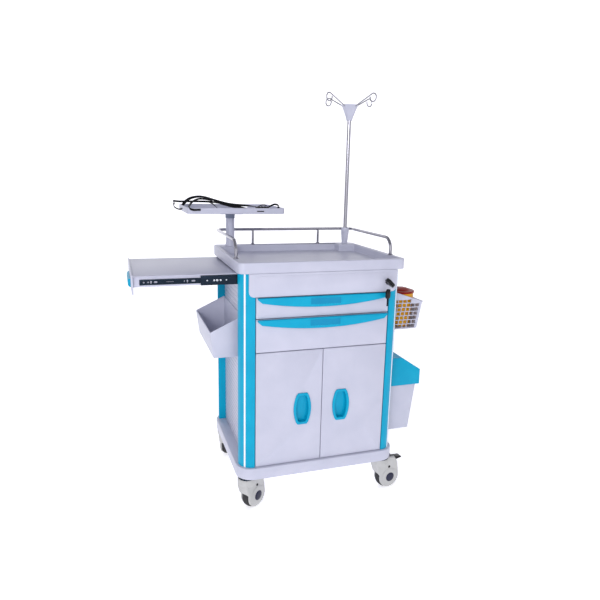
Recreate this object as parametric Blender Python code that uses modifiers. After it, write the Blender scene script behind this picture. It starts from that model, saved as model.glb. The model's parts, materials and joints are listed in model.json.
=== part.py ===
"""Hospital crash cart: a drawer and cupboard trolley with a rail-edged tray top, a swivelling defibrillator
platform, a telescopic drip pole, a pull-out writing shelf, hung bins and four shrouded swivel casters.

Units are metres and +Z is up. The shapes are drawn about the middle of the cabinet's footprint, with the
drawers facing -Y, and the empty "cart" shifts them so that the origin is under the middle of the whole cart.
The writing shelf is drawn pulled out, which is its rest position.
"""

from math import atan2, cos, pi, radians, sin, sqrt, tau

import bmesh
import bpy
from mathutils import Matrix, Vector

# Where the cabinet's centre stands, seen from the middle of the whole cart's footprint.
CART_SHIFT = (0.1045, -0.0296, 0.0)

GAP = 0.0003  # between pieces that touch
CLEARANCE = 0.0015  # between pieces that move past each other

# Tray top
TRAY_WIDTH, TRAY_DEPTH, TRAY_TOP, TRAY_HEIGHT = 0.625, 0.510, 0.945, 0.038
TRAY_BOTTOM = TRAY_TOP - TRAY_HEIGHT
TRAY_CORNER, TRAY_RIM, TRAY_RECESS = 0.022, 0.018, 0.030
CORNER_PAD = (0.070, 0.057)  # the raised pads in the two back corners of the tray

# Cabinet
FRONT_Y, BACK_Y = -0.250, 0.250
COLUMN_X, COLUMN_RADIUS = 0.254, 0.051
PANEL_X, PANEL_SHEET = 0.273, 0.003
BASE_WIDTH, BASE_DEPTH, BASE_BOTTOM, BASE_HEIGHT, BASE_CORNER = 0.628, 0.520, 0.143, 0.044, 0.060
BASE_TOP = BASE_BOTTOM + BASE_HEIGHT
DOOR_TOP, DRAWER_SPLIT, FASCIA_BOTTOM = 0.6235, 0.7460, 0.8240
FASCIA_HALF_WIDTH, FASCIA_SHEET = 0.2775, 0.0075
LINER_X, LINER_SHEET = 0.2520, 0.003
LINER_TOP = 0.8570
SEAM = 0.003  # the visible gap round doors and drawer fronts
BACK_PANEL_Y = 0.2395

# Drawers
DRAWER_TRAVEL = 0.340
FRONT_THICKNESS, DRAWER_BACK = 0.0160, 0.1950
DRAWER_HALF_WIDTH, DRAWER_WALL = 0.2470, 0.0025
HANDLE_HALF_WIDTH, HANDLE_DEPTH, HANDLE_PROUD = 0.246, 0.0395, 0.0120

# Doors
DOOR_THICKNESS = 0.018
DOOR_HINGE = (0.2470, FRONT_Y + 0.0045)
PULL_X, PULL_Z, PULL_WIDTH, PULL_HEIGHT = 0.0757, 0.3990, 0.0676, 0.1220

# Pull-out writing shelf, on a pair of three-part telescopic slides
SHELF_OUT, SHELF_IN, SHELF_TOP, SHELF_BOTTOM = -0.6500, -0.2120, 0.9015, 0.8625
SHELF_HALF_DEPTH, SHELF_FLANGE_HALF_DEPTH = 0.1845, 0.1970
SHELF_TRAVEL = 0.360
SLIDE_Z = 0.8785  # the slides' mid height

# Guard rail
RAIL_X, RAIL_BACK_Y, RAIL_Z, RAIL_RADIUS = 0.300, 0.2425, 1.008, 0.006
RAIL_FOOT_Y, RAIL_BEND, RAIL_CORNER = -0.150, 0.045, 0.035
RAIL_POST_X = 0.146

# Drip pole
POLE_X, POLE_Y, POLE_RADIUS = 0.2655, 0.2225, 0.008
POLE_BOTTOM, POLE_SOCKET_TOP, POLE_HEAD_BOTTOM, POLE_HEAD_TOP = 0.580, 1.015, 1.464, 1.527
HOOK_ANGLES = (25, 115, 205, 295)
HOOK_REACH, HOOK_EYE_Z, HOOK_EYE_RADIUS, HOOK_WIRE = 0.125, 1.548, 0.016, 0.0025
HOOK_RISE = radians(25.5)

# Defibrillator platform
POST_X, POST_Y, POST_RADIUS, POST_TOP = -0.250, 0.205, 0.017, 1.0578
PLATFORM_X, PLATFORM_Y, PLATFORM_WIDTH, PLATFORM_DEPTH = -0.250, 0.200, 0.380, 0.290
PLATFORM_BOTTOM, PLATFORM_TOP, PLATFORM_FLOOR = 1.0850, 1.1070, 1.0885
STRAP_WIDTH, STRAP_THICKNESS = 0.016, 0.0016

# Bins hung on the sides
HANG_X = 0.2760
BIN_WALL = 0.003
SIDE_BIN_Y = (-0.155, 0.1980)
BASKET_Y = (-0.160, 0.100)
WASTE_BODY_Y, WASTE_LID_Y = (-0.153, 0.083), (-0.160, 0.090)
WASTE_HINGE = (0.2985, 0.5385)
SHARPS_X, SHARPS_Y, SHARPS_BOTTOM, SHARPS_TOP = 0.380, -0.098, 0.6538, 0.7860

# Lock
LOCK_X, LOCK_Z, KEY_TURN = 0.2397, 0.8614, radians(45)
SPARE_KEY, SPARE_KEY_TURN = (0.2315, -0.2785, 0.8400), radians(25)

# Casters: stem places, and the bearing in degrees of each wheel's trail
CASTER_X, CASTER_Y = 0.274, 0.2125
WHEEL_RADIUS, WHEEL_WIDTH, CASTER_TRAIL, SHROUD_RADIUS = 0.050, 0.029, 0.035, 0.0462
PEDAL_PIVOT = (0.0460, 0, 0.1180)  # along the trail, across and up, from under the stem
CASTERS = {
    "front_left": (-1, -1, 35.6),
    "front_right": (1, -1, 9.2),
    "back_left": (-1, 1, 62.0),
    "back_right": (1, 1, 21.0),
}
BRAKED = ("front_right", "back_left")


# ---------------------------------------------------------------- scene and materials

for old in list(bpy.data.objects):
    bpy.data.objects.remove(old, do_unlink=True)

parts = bpy.data.collections.new("crash_cart")
cutters = bpy.data.collections.new("cutters")
for collection in (parts, cutters):
    bpy.context.scene.collection.children.link(collection)

cart = bpy.data.objects.new("cart", None)
cart.location = CART_SHIFT
parts.objects.link(cart)


def material(name, colour, roughness, metallic=0.0):
    made = bpy.data.materials.new(name)
    made.use_nodes = True
    shader = made.node_tree.nodes["Principled BSDF"]
    shader.inputs["Base Color"].default_value = (*colour, 1.0)
    shader.inputs["Roughness"].default_value = roughness
    shader.inputs["Metallic"].default_value = metallic
    return made


WHITE_ABS = material("white_abs", (0.80, 0.80, 0.86), 0.35)
TEAL_ABS = material("teal_abs", (0.01, 0.43, 0.64), 0.35)
CHROME = material("chrome", (0.72, 0.72, 0.72), 0.12, 1.0)
ZINC_STEEL = material("zinc_steel", (0.08, 0.10, 0.13), 0.30, 1.0)
GREY_PLASTIC = material("grey_plastic", (0.55, 0.60, 0.64), 0.45)
CASTER_GREY = material("caster_grey", (0.56, 0.56, 0.55), 0.50)
TYRE_RUBBER = material("tyre_rubber", (0.03, 0.03, 0.03), 0.80)
BLACK_PLASTIC = material("black_plastic", (0.015, 0.015, 0.018), 0.45)
WEBBING = material("webbing", (0.01, 0.01, 0.015), 0.85)
YELLOW_PP = material("yellow_pp", (0.90, 0.50, 0.03), 0.40)
RED_PP = material("red_pp", (0.60, 0.05, 0.03), 0.40)


# ---------------------------------------------------------------- modelling helpers

def place(obj, finish, pivot=(0, 0, 0), collection=parts):
    """Links an object under the cart, with its origin moved to the pivot and its shape left in place."""
    obj.data.transform(Matrix.Translation(-Vector(pivot)))
    obj.location = pivot
    obj.parent = cart
    obj.data.materials.append(finish)
    collection.objects.link(obj)
    return obj


def mesh_object(name, bm, smooth=False):
    mesh = bpy.data.meshes.new(name)
    bm.to_mesh(mesh)
    bm.free()
    if smooth:
        mesh.shade_smooth()
        mesh.set_sharp_from_angle(angle=radians(35))
    return bpy.data.objects.new(name, mesh)


def block(name, low, high, finish, pivot=(0, 0, 0), bevel=0.0, collection=parts):
    """A box between two corners."""
    bm = bmesh.new()
    size = Vector(high) - Vector(low)
    middle = (Vector(high) + Vector(low)) / 2
    bmesh.ops.create_cube(bm, size=1.0, matrix=Matrix.Translation(middle) @ Matrix.Diagonal((*size, 1.0)))
    obj = place(mesh_object(name, bm), finish, pivot, collection)
    if bevel:
        edge = obj.modifiers.new("rounded_edges", "BEVEL")
        edge.width, edge.segments, edge.limit_method = bevel, 2, "ANGLE"
    return obj


def drum(name, centre, radius, length, finish, axis="Z", sides=24, pivot=(0, 0, 0), collection=parts):
    """A cylinder about a centre, along X, Y or Z."""
    turn = {"X": Matrix.Rotation(pi / 2, 4, "Y"), "Y": Matrix.Rotation(pi / 2, 4, "X"), "Z": Matrix.Identity(4)}
    bm = bmesh.new()
    bmesh.ops.create_cone(
        bm, cap_ends=True, segments=sides, radius1=radius, radius2=radius, depth=length,
        matrix=Matrix.Translation(centre) @ turn[axis],
    )
    return place(mesh_object(name, bm, smooth=True), finish, pivot, collection)


def arc(centre, radius, start, stop, steps):
    """Points along an arc, with its angles in degrees."""
    angles = [radians(start + (stop - start) * i / steps) for i in range(steps + 1)]
    return [(centre[0] + radius * cos(a), centre[1] + radius * sin(a)) for a in angles]


def rounded_rectangle(low, high, radius, steps=4):
    (x0, y0), (x1, y1) = low, high
    return (
        arc((x1 - radius, y0 + radius), radius, -90, 0, steps)
        + arc((x1 - radius, y1 - radius), radius, 0, 90, steps)
        + arc((x0 + radius, y1 - radius), radius, 90, 180, steps)
        + arc((x0 + radius, y0 + radius), radius, 180, 270, steps)
    )


def sheet(name, outlines, low, high, finish, axis="Z", pivot=(0, 0, 0), collection=parts):
    """A flat outline, with any holes in it, given thickness from low to high along an axis.

    Outlines are (x, y) points for Z, (x, z) points for Y and (y, z) points for X.
    """
    curve = bpy.data.curves.new(name, "CURVE")
    curve.dimensions, curve.fill_mode, curve.extrude = "2D", "BOTH", (high - low) / 2
    for outline in outlines:
        spline = curve.splines.new("POLY")
        spline.points.add(len(outline) - 1)
        for point, (u, v) in zip(spline.points, outline):
            point.co = (u, v, 0.0, 1.0)
        spline.use_cyclic_u = True
    flat = bpy.data.objects.new(name + "_outline", curve)
    bpy.context.scene.collection.objects.link(flat)
    bm = bmesh.new()
    bm.from_mesh(evaluated_mesh(flat))
    bpy.data.objects.remove(flat)
    bmesh.ops.remove_doubles(bm, verts=bm.verts, dist=1e-5)
    turn = {
        "X": Matrix(((0, 0, 1, 0), (1, 0, 0, 0), (0, 1, 0, 0), (0, 0, 0, 1))),
        "Y": Matrix.Rotation(pi / 2, 4, "X"),
        "Z": Matrix.Identity(4),
    }
    middle = {"X": (1, 0, 0), "Y": (0, 1, 0), "Z": (0, 0, 1)}[axis]
    bm.transform(Matrix.Translation(Vector(middle) * (low + high) / 2) @ turn[axis])
    return place(mesh_object(name, bm, smooth=True), finish, pivot, collection)


def evaluated_mesh(obj):
    graph = bpy.context.evaluated_depsgraph_get()
    return bpy.data.meshes.new_from_object(obj.evaluated_get(graph))


def turned(name, profile, centre, finish, sides=24, axis="Z", collection=parts):
    """A profile of (radius, height) points spun about an axis through the centre."""
    mesh = bpy.data.meshes.new(name)
    ring = profile[0] == profile[-1]
    points = profile[:-1] if ring else profile
    edges = [(i, (i + 1) % len(points)) for i in range(len(points) - (0 if ring else 1))]
    mesh.from_pydata([(r, 0.0, h) for r, h in points], edges, [])
    obj = bpy.data.objects.new(name, mesh)
    obj.parent, obj.location = cart, centre
    if axis == "Y":
        obj.rotation_euler = (pi / 2, 0, 0)
    mesh.materials.append(finish)
    collection.objects.link(obj)
    spin = obj.modifiers.new("turned", "SCREW")
    spin.steps = spin.render_steps = sides
    spin.use_merge_vertices, spin.merge_threshold, spin.use_smooth_shade = True, 1e-5, True
    return obj


def bent(corners, radii, steps=5):
    """A path of straight runs through corners, each rounded to its own radius."""
    points = [Vector(corners[0])]
    for before, corner, after, radius in zip(corners, corners[1:], corners[2:], radii):
        corner = Vector(corner)
        back, ahead = (Vector(before) - corner).normalized(), (Vector(after) - corner).normalized()
        half = back.angle(ahead) / 2
        start = corner + back * radius / (sin(half) / cos(half))
        centre = corner + (back + ahead).normalized() * radius / sin(half)
        spoke, turn_axis = start - centre, (-back).cross(ahead).normalized()
        for i in range(steps + 1):
            points.append(centre + Matrix.Rotation((pi - 2 * half) * i / steps, 3, turn_axis) @ spoke)
    return points + [Vector(corners[-1])]


def tube(name, points, radius, finish, pivot=(0, 0, 0), collection=parts, resolution=2):
    """A round bar along a path, as a closed mesh."""
    curve = bpy.data.curves.new(name, "CURVE")
    curve.dimensions, curve.bevel_depth, curve.bevel_resolution = "3D", radius, resolution
    curve.use_fill_caps = True
    spline = curve.splines.new("POLY")
    spline.points.add(len(points) - 1)
    for point, where in zip(spline.points, points):
        point.co = (*where, 1.0)
    wire = bpy.data.objects.new(name + "_wire", curve)
    bpy.context.scene.collection.objects.link(wire)
    bm = bmesh.new()
    bm.from_mesh(evaluated_mesh(wire))
    bpy.data.objects.remove(wire)
    bmesh.ops.remove_doubles(bm, verts=bm.verts, dist=1e-5)
    bmesh.ops.recalc_face_normals(bm, faces=bm.faces)
    return place(mesh_object(name, bm, smooth=True), finish, pivot, collection)


def combine(obj, other, operation):
    """Cuts the other shape from the object, or joins it, and puts the other with the hidden cutters."""
    for home in list(other.users_collection):
        home.objects.unlink(other)
    cutters.objects.link(other)
    other.hide_render, other.display_type = True, "WIRE"
    step = obj.modifiers.new(other.name, "BOOLEAN")
    step.operation, step.object, step.solver = operation, other, "EXACT"


def cut(obj, other):
    combine(obj, other, "DIFFERENCE")


def join(obj, other):
    combine(obj, other, "UNION")


# ---------------------------------------------------------------- tray top and guard rail

def tray_top():
    outer = rounded_rectangle((-TRAY_WIDTH / 2, -TRAY_DEPTH / 2), (TRAY_WIDTH / 2, TRAY_DEPTH / 2), TRAY_CORNER)
    tray = sheet("tray_top", [outer], TRAY_BOTTOM, TRAY_TOP, WHITE_ABS)
    x, y = TRAY_WIDTH / 2 - TRAY_RIM, TRAY_DEPTH / 2 - TRAY_RIM
    pad_x, pad_y = x - CORNER_PAD[0], y - CORNER_PAD[1]
    recess = [(-x, -y), (x, -y), (x, pad_y), (pad_x, pad_y), (pad_x, y), (-pad_x, y), (-pad_x, pad_y), (-x, pad_y)]
    cut(tray, sheet("tray_recess", [recess], TRAY_TOP - TRAY_RECESS, TRAY_TOP + 0.01, WHITE_ABS))
    bore = drum("tray_bore", (POLE_X, POLE_Y, TRAY_TOP), POLE_RADIUS + 0.0007, 0.1, WHITE_ABS, sides=16)
    cut(tray, bore)


def rail_path():
    foot = TRAY_TOP + GAP
    corners = [
        (-RAIL_X, RAIL_FOOT_Y, foot),
        (-RAIL_X, RAIL_FOOT_Y, RAIL_Z),
        (-RAIL_X, RAIL_BACK_Y, RAIL_Z),
        (RAIL_X, RAIL_BACK_Y, RAIL_Z),
        (RAIL_X, RAIL_FOOT_Y, RAIL_Z),
        (RAIL_X, RAIL_FOOT_Y, foot),
    ]
    return bent(corners, (RAIL_BEND, RAIL_CORNER, RAIL_CORNER, RAIL_BEND))


def guard_rail():
    rail = tube("guard_rail", rail_path(), RAIL_RADIUS, CHROME)
    for side in (-1, 1):
        post = [(side * RAIL_POST_X, RAIL_BACK_Y, TRAY_TOP + GAP), (side * RAIL_POST_X, RAIL_BACK_Y, RAIL_Z)]
        join(rail, tube(f"rail_post_{side}", post, RAIL_RADIUS * 0.8, CHROME))


# ---------------------------------------------------------------- cabinet carcass

def column(name, side_x, side_y, bore=False):
    """A quarter-round corner post, square to the inside of the cabinet."""
    x, y = side_x * COLUMN_X, side_y * (BACK_Y - COLUMN_RADIUS)
    start = {(1, 1): 0, (-1, 1): 90, (-1, -1): 180, (1, -1): 270}[side_x, side_y]
    outline = [(x, y)] + arc((x, y), COLUMN_RADIUS, start, start + 90, 8)
    outlines = [outline, arc((POLE_X, POLE_Y), POLE_RADIUS + 0.0007, 360, 0, 16)[:-1]] if bore else [outline]
    sheet(name, outlines, BASE_TOP + GAP, TRAY_BOTTOM - GAP, TEAL_ABS)


def liner(name, side):
    """The cabinet's inner side wall, with a ledge that each drawer slides on."""
    face, back = LINER_X - LINER_SHEET, LINER_X
    ledge = DRAWER_HALF_WIDTH - 0.010
    outline = [(back, BASE_TOP + GAP), (face, BASE_TOP + GAP)]
    for bottom in (DOOR_TOP, DRAWER_SPLIT):
        height = drawer_underside(bottom) - GAP
        outline += [(face, height - 0.008), (ledge, height - 0.005), (ledge, height), (face, height)]
    outline += [(face, LINER_TOP), (back, LINER_TOP)]
    sheet(name, [[(side * x, z) for x, z in outline][::side]], FRONT_Y + 0.021, 0.235, WHITE_ABS, "Y")


def drawer_underside(front_bottom):
    """The underside of a drawer's box, above the bottom of its front."""
    return front_bottom + SEAM / 2 + 0.005


def carcass():
    column("column_front_left", -1, -1)
    column("column_front_right", 1, -1)
    column("column_back_left", -1, 1)
    column("column_back_right", 1, 1, bore=True)

    corner = rounded_rectangle((-BASE_WIDTH / 2, -BASE_DEPTH / 2), (BASE_WIDTH / 2, BASE_DEPTH / 2), BASE_CORNER, 6)
    base = sheet("base_frame", [corner], BASE_BOTTOM, BASE_TOP, WHITE_ABS)
    edge = base.modifiers.new("rounded_edges", "BEVEL")
    edge.width, edge.segments, edge.limit_method, edge.angle_limit = 0.006, 2, "ANGLE", radians(60)

    half_depth = BACK_Y - COLUMN_RADIUS - GAP
    for side, name, top in ((-1, "side_panel_left", LINER_TOP), (1, "side_panel_right", TRAY_BOTTOM - GAP)):
        inner, outer = sorted((side * (PANEL_X - PANEL_SHEET / 2), side * (PANEL_X + PANEL_SHEET / 2)))
        block(name, (inner, -half_depth, BASE_TOP + GAP), (outer, half_depth, top), WHITE_ABS)
    block(
        "back_panel", (-COLUMN_X + GAP, BACK_PANEL_Y - PANEL_SHEET, BASE_TOP + GAP),
        (COLUMN_X - GAP, BACK_PANEL_Y, TRAY_BOTTOM - GAP), WHITE_ABS,
    )
    liner("liner_left", -1)
    liner("liner_right", 1)

    inside = LINER_X - LINER_SHEET - GAP
    block("drawer_divider", (-inside, FRONT_Y + 0.021, DOOR_TOP - 0.011), (inside, 0.235, DOOR_TOP - 0.003), WHITE_ABS)


def fascia():
    """The fixed panel under the tray that carries the lock. It laps over the two front columns."""
    x, low, high, corner = FASCIA_HALF_WIDTH, FASCIA_BOTTOM + 0.0015, TRAY_BOTTOM - GAP, 0.018
    outline = (
        [(x, high), (-x, high)]
        + arc((-x + corner, low + corner), corner, 180, 270, 4)
        + arc((x - corner, low + corner), corner, 270, 360, 4)
    )
    hole = arc((LOCK_X, LOCK_Z), 0.0085, 360, 0, 16)[:-1]
    sheet("fascia_panel", [outline, hole], FRONT_Y - GAP - FASCIA_SHEET, FRONT_Y - GAP, WHITE_ABS, "Y")


# ---------------------------------------------------------------- drawers

def drawer(name, bottom, top):
    """A moulded drawer: a front, and an open box that slides on the liners' ledges."""
    pivot = (0, FRONT_Y, (bottom + top) / 2)
    low, high = bottom + SEAM / 2, top - SEAM / 2
    front = block(name, (-COLUMN_X + SEAM, FRONT_Y, low), (COLUMN_X - SEAM, FRONT_Y + FRONT_THICKNESS, high),
                  WHITE_ABS, pivot, bevel=0.002)
    x, floor, rim = DRAWER_HALF_WIDTH, drawer_underside(bottom), high - 0.0105
    join(front, block(name + "_box", (-x, FRONT_Y + 0.0150, floor), (x, DRAWER_BACK, rim), WHITE_ABS, pivot))
    cut(front, block(name + "_hollow", (DRAWER_WALL - x, FRONT_Y + FRONT_THICKNESS - 0.0004, floor + DRAWER_WALL),
                     (x - DRAWER_WALL, DRAWER_BACK - DRAWER_WALL, top + 0.02), WHITE_ABS, pivot))
    drawer_handle(name + "_handle", high - 0.0005, pivot)


def drawer_handle(name, top, pivot):
    """The crescent-shaped pull along a drawer's top edge, hollow behind for the fingers."""
    half, end = HANDLE_HALF_WIDTH, 0.014
    lower = []
    for i in range(13):
        x = (half - end) * (1 - 2 * i / 12)
        lower.append((x, top - HANDLE_DEPTH + 0.021 * (x / (half - end)) ** 2))
    outline = [(-half, top), (half, top)][::-1]
    outline = [(half, top), (half, top - 0.006)] + lower + [(-half, top - 0.006), (-half, top)]
    back = FRONT_Y - GAP
    pull = sheet(name, [outline], back - HANDLE_PROUD, back, TEAL_ABS, "Y", pivot)
    reach = 0.150
    cut(pull, block(name + "_finger_gap", (-reach, back - HANDLE_PROUD + 0.0035, top - 0.060),
                    (reach, back + 0.01, top - 0.0140), TEAL_ABS, pivot))


# ---------------------------------------------------------------- doors

def barrel_outline(width, height, steps=7):
    """A tall oval with flattened ends and bulging sides, about the origin."""
    half_w, half_h = width / 2, height / 2
    right = []
    for i in range(steps + 1):
        t = -1 + 2 * i / steps
        right.append((half_w * (1 - 0.30 * t * t), half_h * 0.86 * t))
    cap = [(half_w * 0.52, half_h), (-half_w * 0.52, half_h)]
    left = [(-x, -z) for x, z in right]
    return right + cap + left + [(-x, -z) for x, z in cap]


def door(name, side):
    hinge = (side * DOOR_HINGE[0], DOOR_HINGE[1], (BASE_TOP + DOOR_TOP) / 2)
    edges = sorted((side * 0.0012, side * (COLUMN_X - SEAM)))
    slab = block(name, (edges[0], FRONT_Y, BASE_TOP + 0.0025), (edges[1], FRONT_Y + DOOR_THICKNESS, DOOR_TOP - SEAM / 2),
                 WHITE_ABS, hinge, bevel=0.0015)
    centre = (side * PULL_X, PULL_Z)

    def at_pull(outline):
        return [(centre[0] + x, centre[1] + z) for x, z in outline]

    hole = barrel_outline(PULL_WIDTH - 0.012, PULL_HEIGHT - 0.012)
    cut(slab, sheet(name + "_pull_hole", [at_pull(hole)], FRONT_Y - 0.01, FRONT_Y + 0.03, WHITE_ABS, "Y", hinge))
    rim = at_pull(barrel_outline(PULL_WIDTH, PULL_HEIGHT))
    cup = at_pull(barrel_outline(PULL_WIDTH - 0.0132, PULL_HEIGHT - 0.0132))
    hollow = at_pull(barrel_outline(PULL_WIDTH - 0.020, PULL_HEIGHT - 0.020))
    pull = sheet(name + "_pull", [rim], FRONT_Y - 0.0045, FRONT_Y - GAP, TEAL_ABS, "Y", hinge)
    join(pull, sheet(name + "_pull_cup", [cup], FRONT_Y - 0.001, FRONT_Y + 0.0165, TEAL_ABS, "Y", hinge))
    cut(pull, sheet(name + "_pull_hollow", [hollow], FRONT_Y - 0.01, FRONT_Y + 0.0135, TEAL_ABS, "Y", hinge))


# ---------------------------------------------------------------- writing shelf and its slides

def writing_shelf():
    flange, wall, thick = SHELF_FLANGE_HALF_DEPTH, SHELF_HALF_DEPTH, 0.003
    half = [(flange, SHELF_TOP), (flange, SHELF_TOP - thick), (wall, SHELF_TOP - thick), (wall, SHELF_BOTTOM),
            (wall - thick, SHELF_BOTTOM), (wall - thick, SHELF_TOP - thick)]
    outline = half + [(-y, z) for y, z in reversed(half)]
    sheet("shelf_board", [outline[::-1]], SHELF_OUT + GAP, SHELF_IN, WHITE_ABS, "X")
    panel = SHELF_OUT - 0.0050
    block("shelf_end_panel", (panel, -flange, SHELF_BOTTOM - 0.0225), (SHELF_OUT, flange, SHELF_TOP + 0.004), WHITE_ABS,
          bevel=0.0015)
    block("shelf_pull", (panel - 0.0095, -0.084, SHELF_BOTTOM - 0.0175), (panel - GAP, 0.076, SHELF_TOP - 0.0265), TEAL_ABS,
          bevel=0.005)

    for side, word in ((-1, "front"), (1, "back")):
        def channel(name, web, sheet_thickness, inner, half_height, low, high):
            """One member of the slide: a web with two flanges that reach towards the shelf."""
            top, bottom = SLIDE_Z + half_height, SLIDE_Z - half_height
            lip = 0.0012
            points = [(inner, top), (web, top), (web, bottom), (inner, bottom), (inner, bottom + lip),
                      (web - sheet_thickness, bottom + lip), (web - sheet_thickness, top - lip), (inner, top - lip)]
            sheet(name, [[(side * y, z) for y, z in points][::side]], low, high, ZINC_STEEL, "X")

        block(f"slide_inner_{word}", (-0.630, min(side * 0.1848, side * 0.1880), SLIDE_Z - 0.0095),
              (-0.190, max(side * 0.1848, side * 0.1880), SLIDE_Z + 0.0095), ZINC_STEEL)
        channel(f"slide_middle_{word}", 0.1920, 0.0015, 0.1856, 0.0165, -0.430, -0.010)
        channel(f"slide_outer_{word}", 0.1970, 0.0015, 0.1860, 0.0182, -0.268, 0.172)


# ---------------------------------------------------------------- drip pole

def drip_pole():
    bore = POLE_RADIUS + 0.0007
    base, top = TRAY_TOP + GAP, POLE_SOCKET_TOP
    profile = [(bore, top), (0.0160, top), (0.0175, top - 0.006), (0.0170, top - 0.022), (0.0125, base + 0.004),
               (0.0125, base), (bore, base), (bore, top)]
    socket = turned("pole_socket", profile, (POLE_X, POLE_Y, 0), WHITE_ABS)
    cut(socket, tube("socket_rail_groove", rail_path(), RAIL_RADIUS + 0.0006, WHITE_ABS))

    pivot = (POLE_X, POLE_Y, POLE_SOCKET_TOP)
    head_floor = POLE_HEAD_BOTTOM + 0.026
    pole_top = head_floor - GAP
    drum("drip_pole", (POLE_X, POLE_Y, (POLE_BOTTOM + pole_top) / 2), POLE_RADIUS, pole_top - POLE_BOTTOM, CHROME,
         sides=16, pivot=pivot)

    rim, low = POLE_HEAD_TOP, POLE_HEAD_BOTTOM
    cup = low + 0.036
    profile = [(0, cup), (0.011, cup), (0.031, rim), (0.036, rim), (0.030, low + 0.048), (0.0125, low + 0.012),
               (0.0112, low), (bore, low), (bore, head_floor), (0, head_floor)]
    head = turned("pole_head", profile, (POLE_X, POLE_Y, 0), WHITE_ABS)

    hub_z = cup + 0.006
    eye_top = pi / 2 + HOOK_RISE
    start = HOOK_REACH + HOOK_EYE_RADIUS * cos(eye_top), HOOK_EYE_Z + HOOK_EYE_RADIUS * sin(eye_top)
    centre_z = start[1] - start[0] * sin(HOOK_RISE) / cos(HOOK_RISE)
    hooks = drum("pole_hooks", (POLE_X, POLE_Y, hub_z), 0.0060, 0.0110, CHROME, sides=12, pivot=pivot)
    for number, bearing in enumerate(HOOK_ANGLES):
        out = Vector((cos(radians(bearing)), sin(radians(bearing)), 0))
        middle = Vector((POLE_X, POLE_Y, 0))

        def at(reach, height):
            return middle + out * reach + Vector((0, 0, height))

        eye = [eye_top - radians(300) * i / 12 for i in range(13)]
        path = [at(0.001, centre_z)] + [
            at(HOOK_REACH + HOOK_EYE_RADIUS * cos(a), HOOK_EYE_Z + HOOK_EYE_RADIUS * sin(a)) for a in eye
        ]
        join(hooks, tube(f"hook_{number}", path, HOOK_WIRE, CHROME, pivot))
        cut(head, tube(f"hook_hole_{number}", [at(0.008, centre_z + 0.008 * 0.477), at(0.060, centre_z + 0.060 * 0.477)],
                       HOOK_WIRE + 0.0005, CHROME, pivot))


# ---------------------------------------------------------------- defibrillator platform

def platform():
    centre = (POST_X, POST_Y, 0)
    base = TRAY_TOP + GAP
    turned("platform_post", [(0, POST_TOP), (POST_RADIUS, POST_TOP), (POST_RADIUS, base + 0.014), (0.0195, base + 0.006),
                             (0.0195, base), (0, base)], centre, WHITE_ABS)
    low = POST_TOP + GAP
    head = turned("platform_swivel", [(0, PLATFORM_BOTTOM - GAP), (0.0180, PLATFORM_BOTTOM - GAP), (0.0190, low + 0.016),
                                      (0.0190, low + 0.001), (0.0180, low), (0, low)], centre, GREY_PLASTIC)
    join(head, block("platform_bracket", (POST_X - 0.050, POST_Y - 0.055, PLATFORM_BOTTOM - 0.0080),
                     (POST_X + 0.042, POST_Y + 0.055, PLATFORM_BOTTOM - GAP), GREY_PLASTIC, centre))

    x, y = PLATFORM_WIDTH / 2, PLATFORM_DEPTH / 2
    low_corner, high_corner = (PLATFORM_X - x, PLATFORM_Y - y), (PLATFORM_X + x, PLATFORM_Y + y)
    tray = sheet("platform_tray", [rounded_rectangle(low_corner, high_corner, 0.020)], PLATFORM_BOTTOM, PLATFORM_TOP,
                 WHITE_ABS, pivot=centre)
    wall = 0.005
    inner = rounded_rectangle((low_corner[0] + wall, low_corner[1] + wall), (high_corner[0] - wall, high_corner[1] - wall), 0.015)
    cut(tray, sheet("platform_recess", [inner], PLATFORM_FLOOR, PLATFORM_TOP + 0.01, WHITE_ABS, pivot=centre))
    cut(tray, block("strap_slots", (-0.1750, low_corner[1] - 0.01, 1.0925), (-0.1460, high_corner[1] + 0.01, 1.0975),
                    WHITE_ABS, centre))


def strap(name, knots, pivot):
    """A flat band through knots of (x, y, z, tilt in degrees), smoothed between them."""
    points = []
    for i in range(len(knots) - 1):
        before, a, b, after = (Vector(knots[min(max(k, 0), len(knots) - 1)]) for k in (i - 1, i, i + 1, i + 2))
        for step in range(3):
            t = step / 3
            points.append(0.5 * (2 * a + (b - before) * t + (2 * before - 5 * a + 4 * b - after) * t * t
                                 + (3 * a - before - 3 * b + after) * t ** 3))
    points.append(Vector(knots[-1]))
    bm = bmesh.new()
    ring = None
    for i, point in enumerate(points):
        ahead = (points[min(i + 1, len(points) - 1)].xyz - points[max(i - 1, 0)].xyz).normalized()
        level = Vector((0, 0, 1)).cross(ahead).normalized()
        across = Matrix.Rotation(radians(point.w), 3, ahead) @ level * STRAP_WIDTH / 2
        through = ahead.cross(across).normalized() * STRAP_THICKNESS / 2
        corners = [across + through, through - across, -across - through, across - through]
        new = [bm.verts.new(point.xyz + corner) for corner in corners]
        if ring:
            edges = [bm.edges.get(pair) or bm.edges.new(pair) for r in (ring, new) for pair in zip(r, r[1:] + r[:1])]
            bmesh.ops.bridge_loops(bm, edges=edges)
        else:
            first = new
        ring = new
    bm.faces.new(first)
    bm.faces.new(ring)
    bmesh.ops.recalc_face_normals(bm, faces=bm.faces)
    place(mesh_object(name, bm), WEBBING, pivot)


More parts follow.
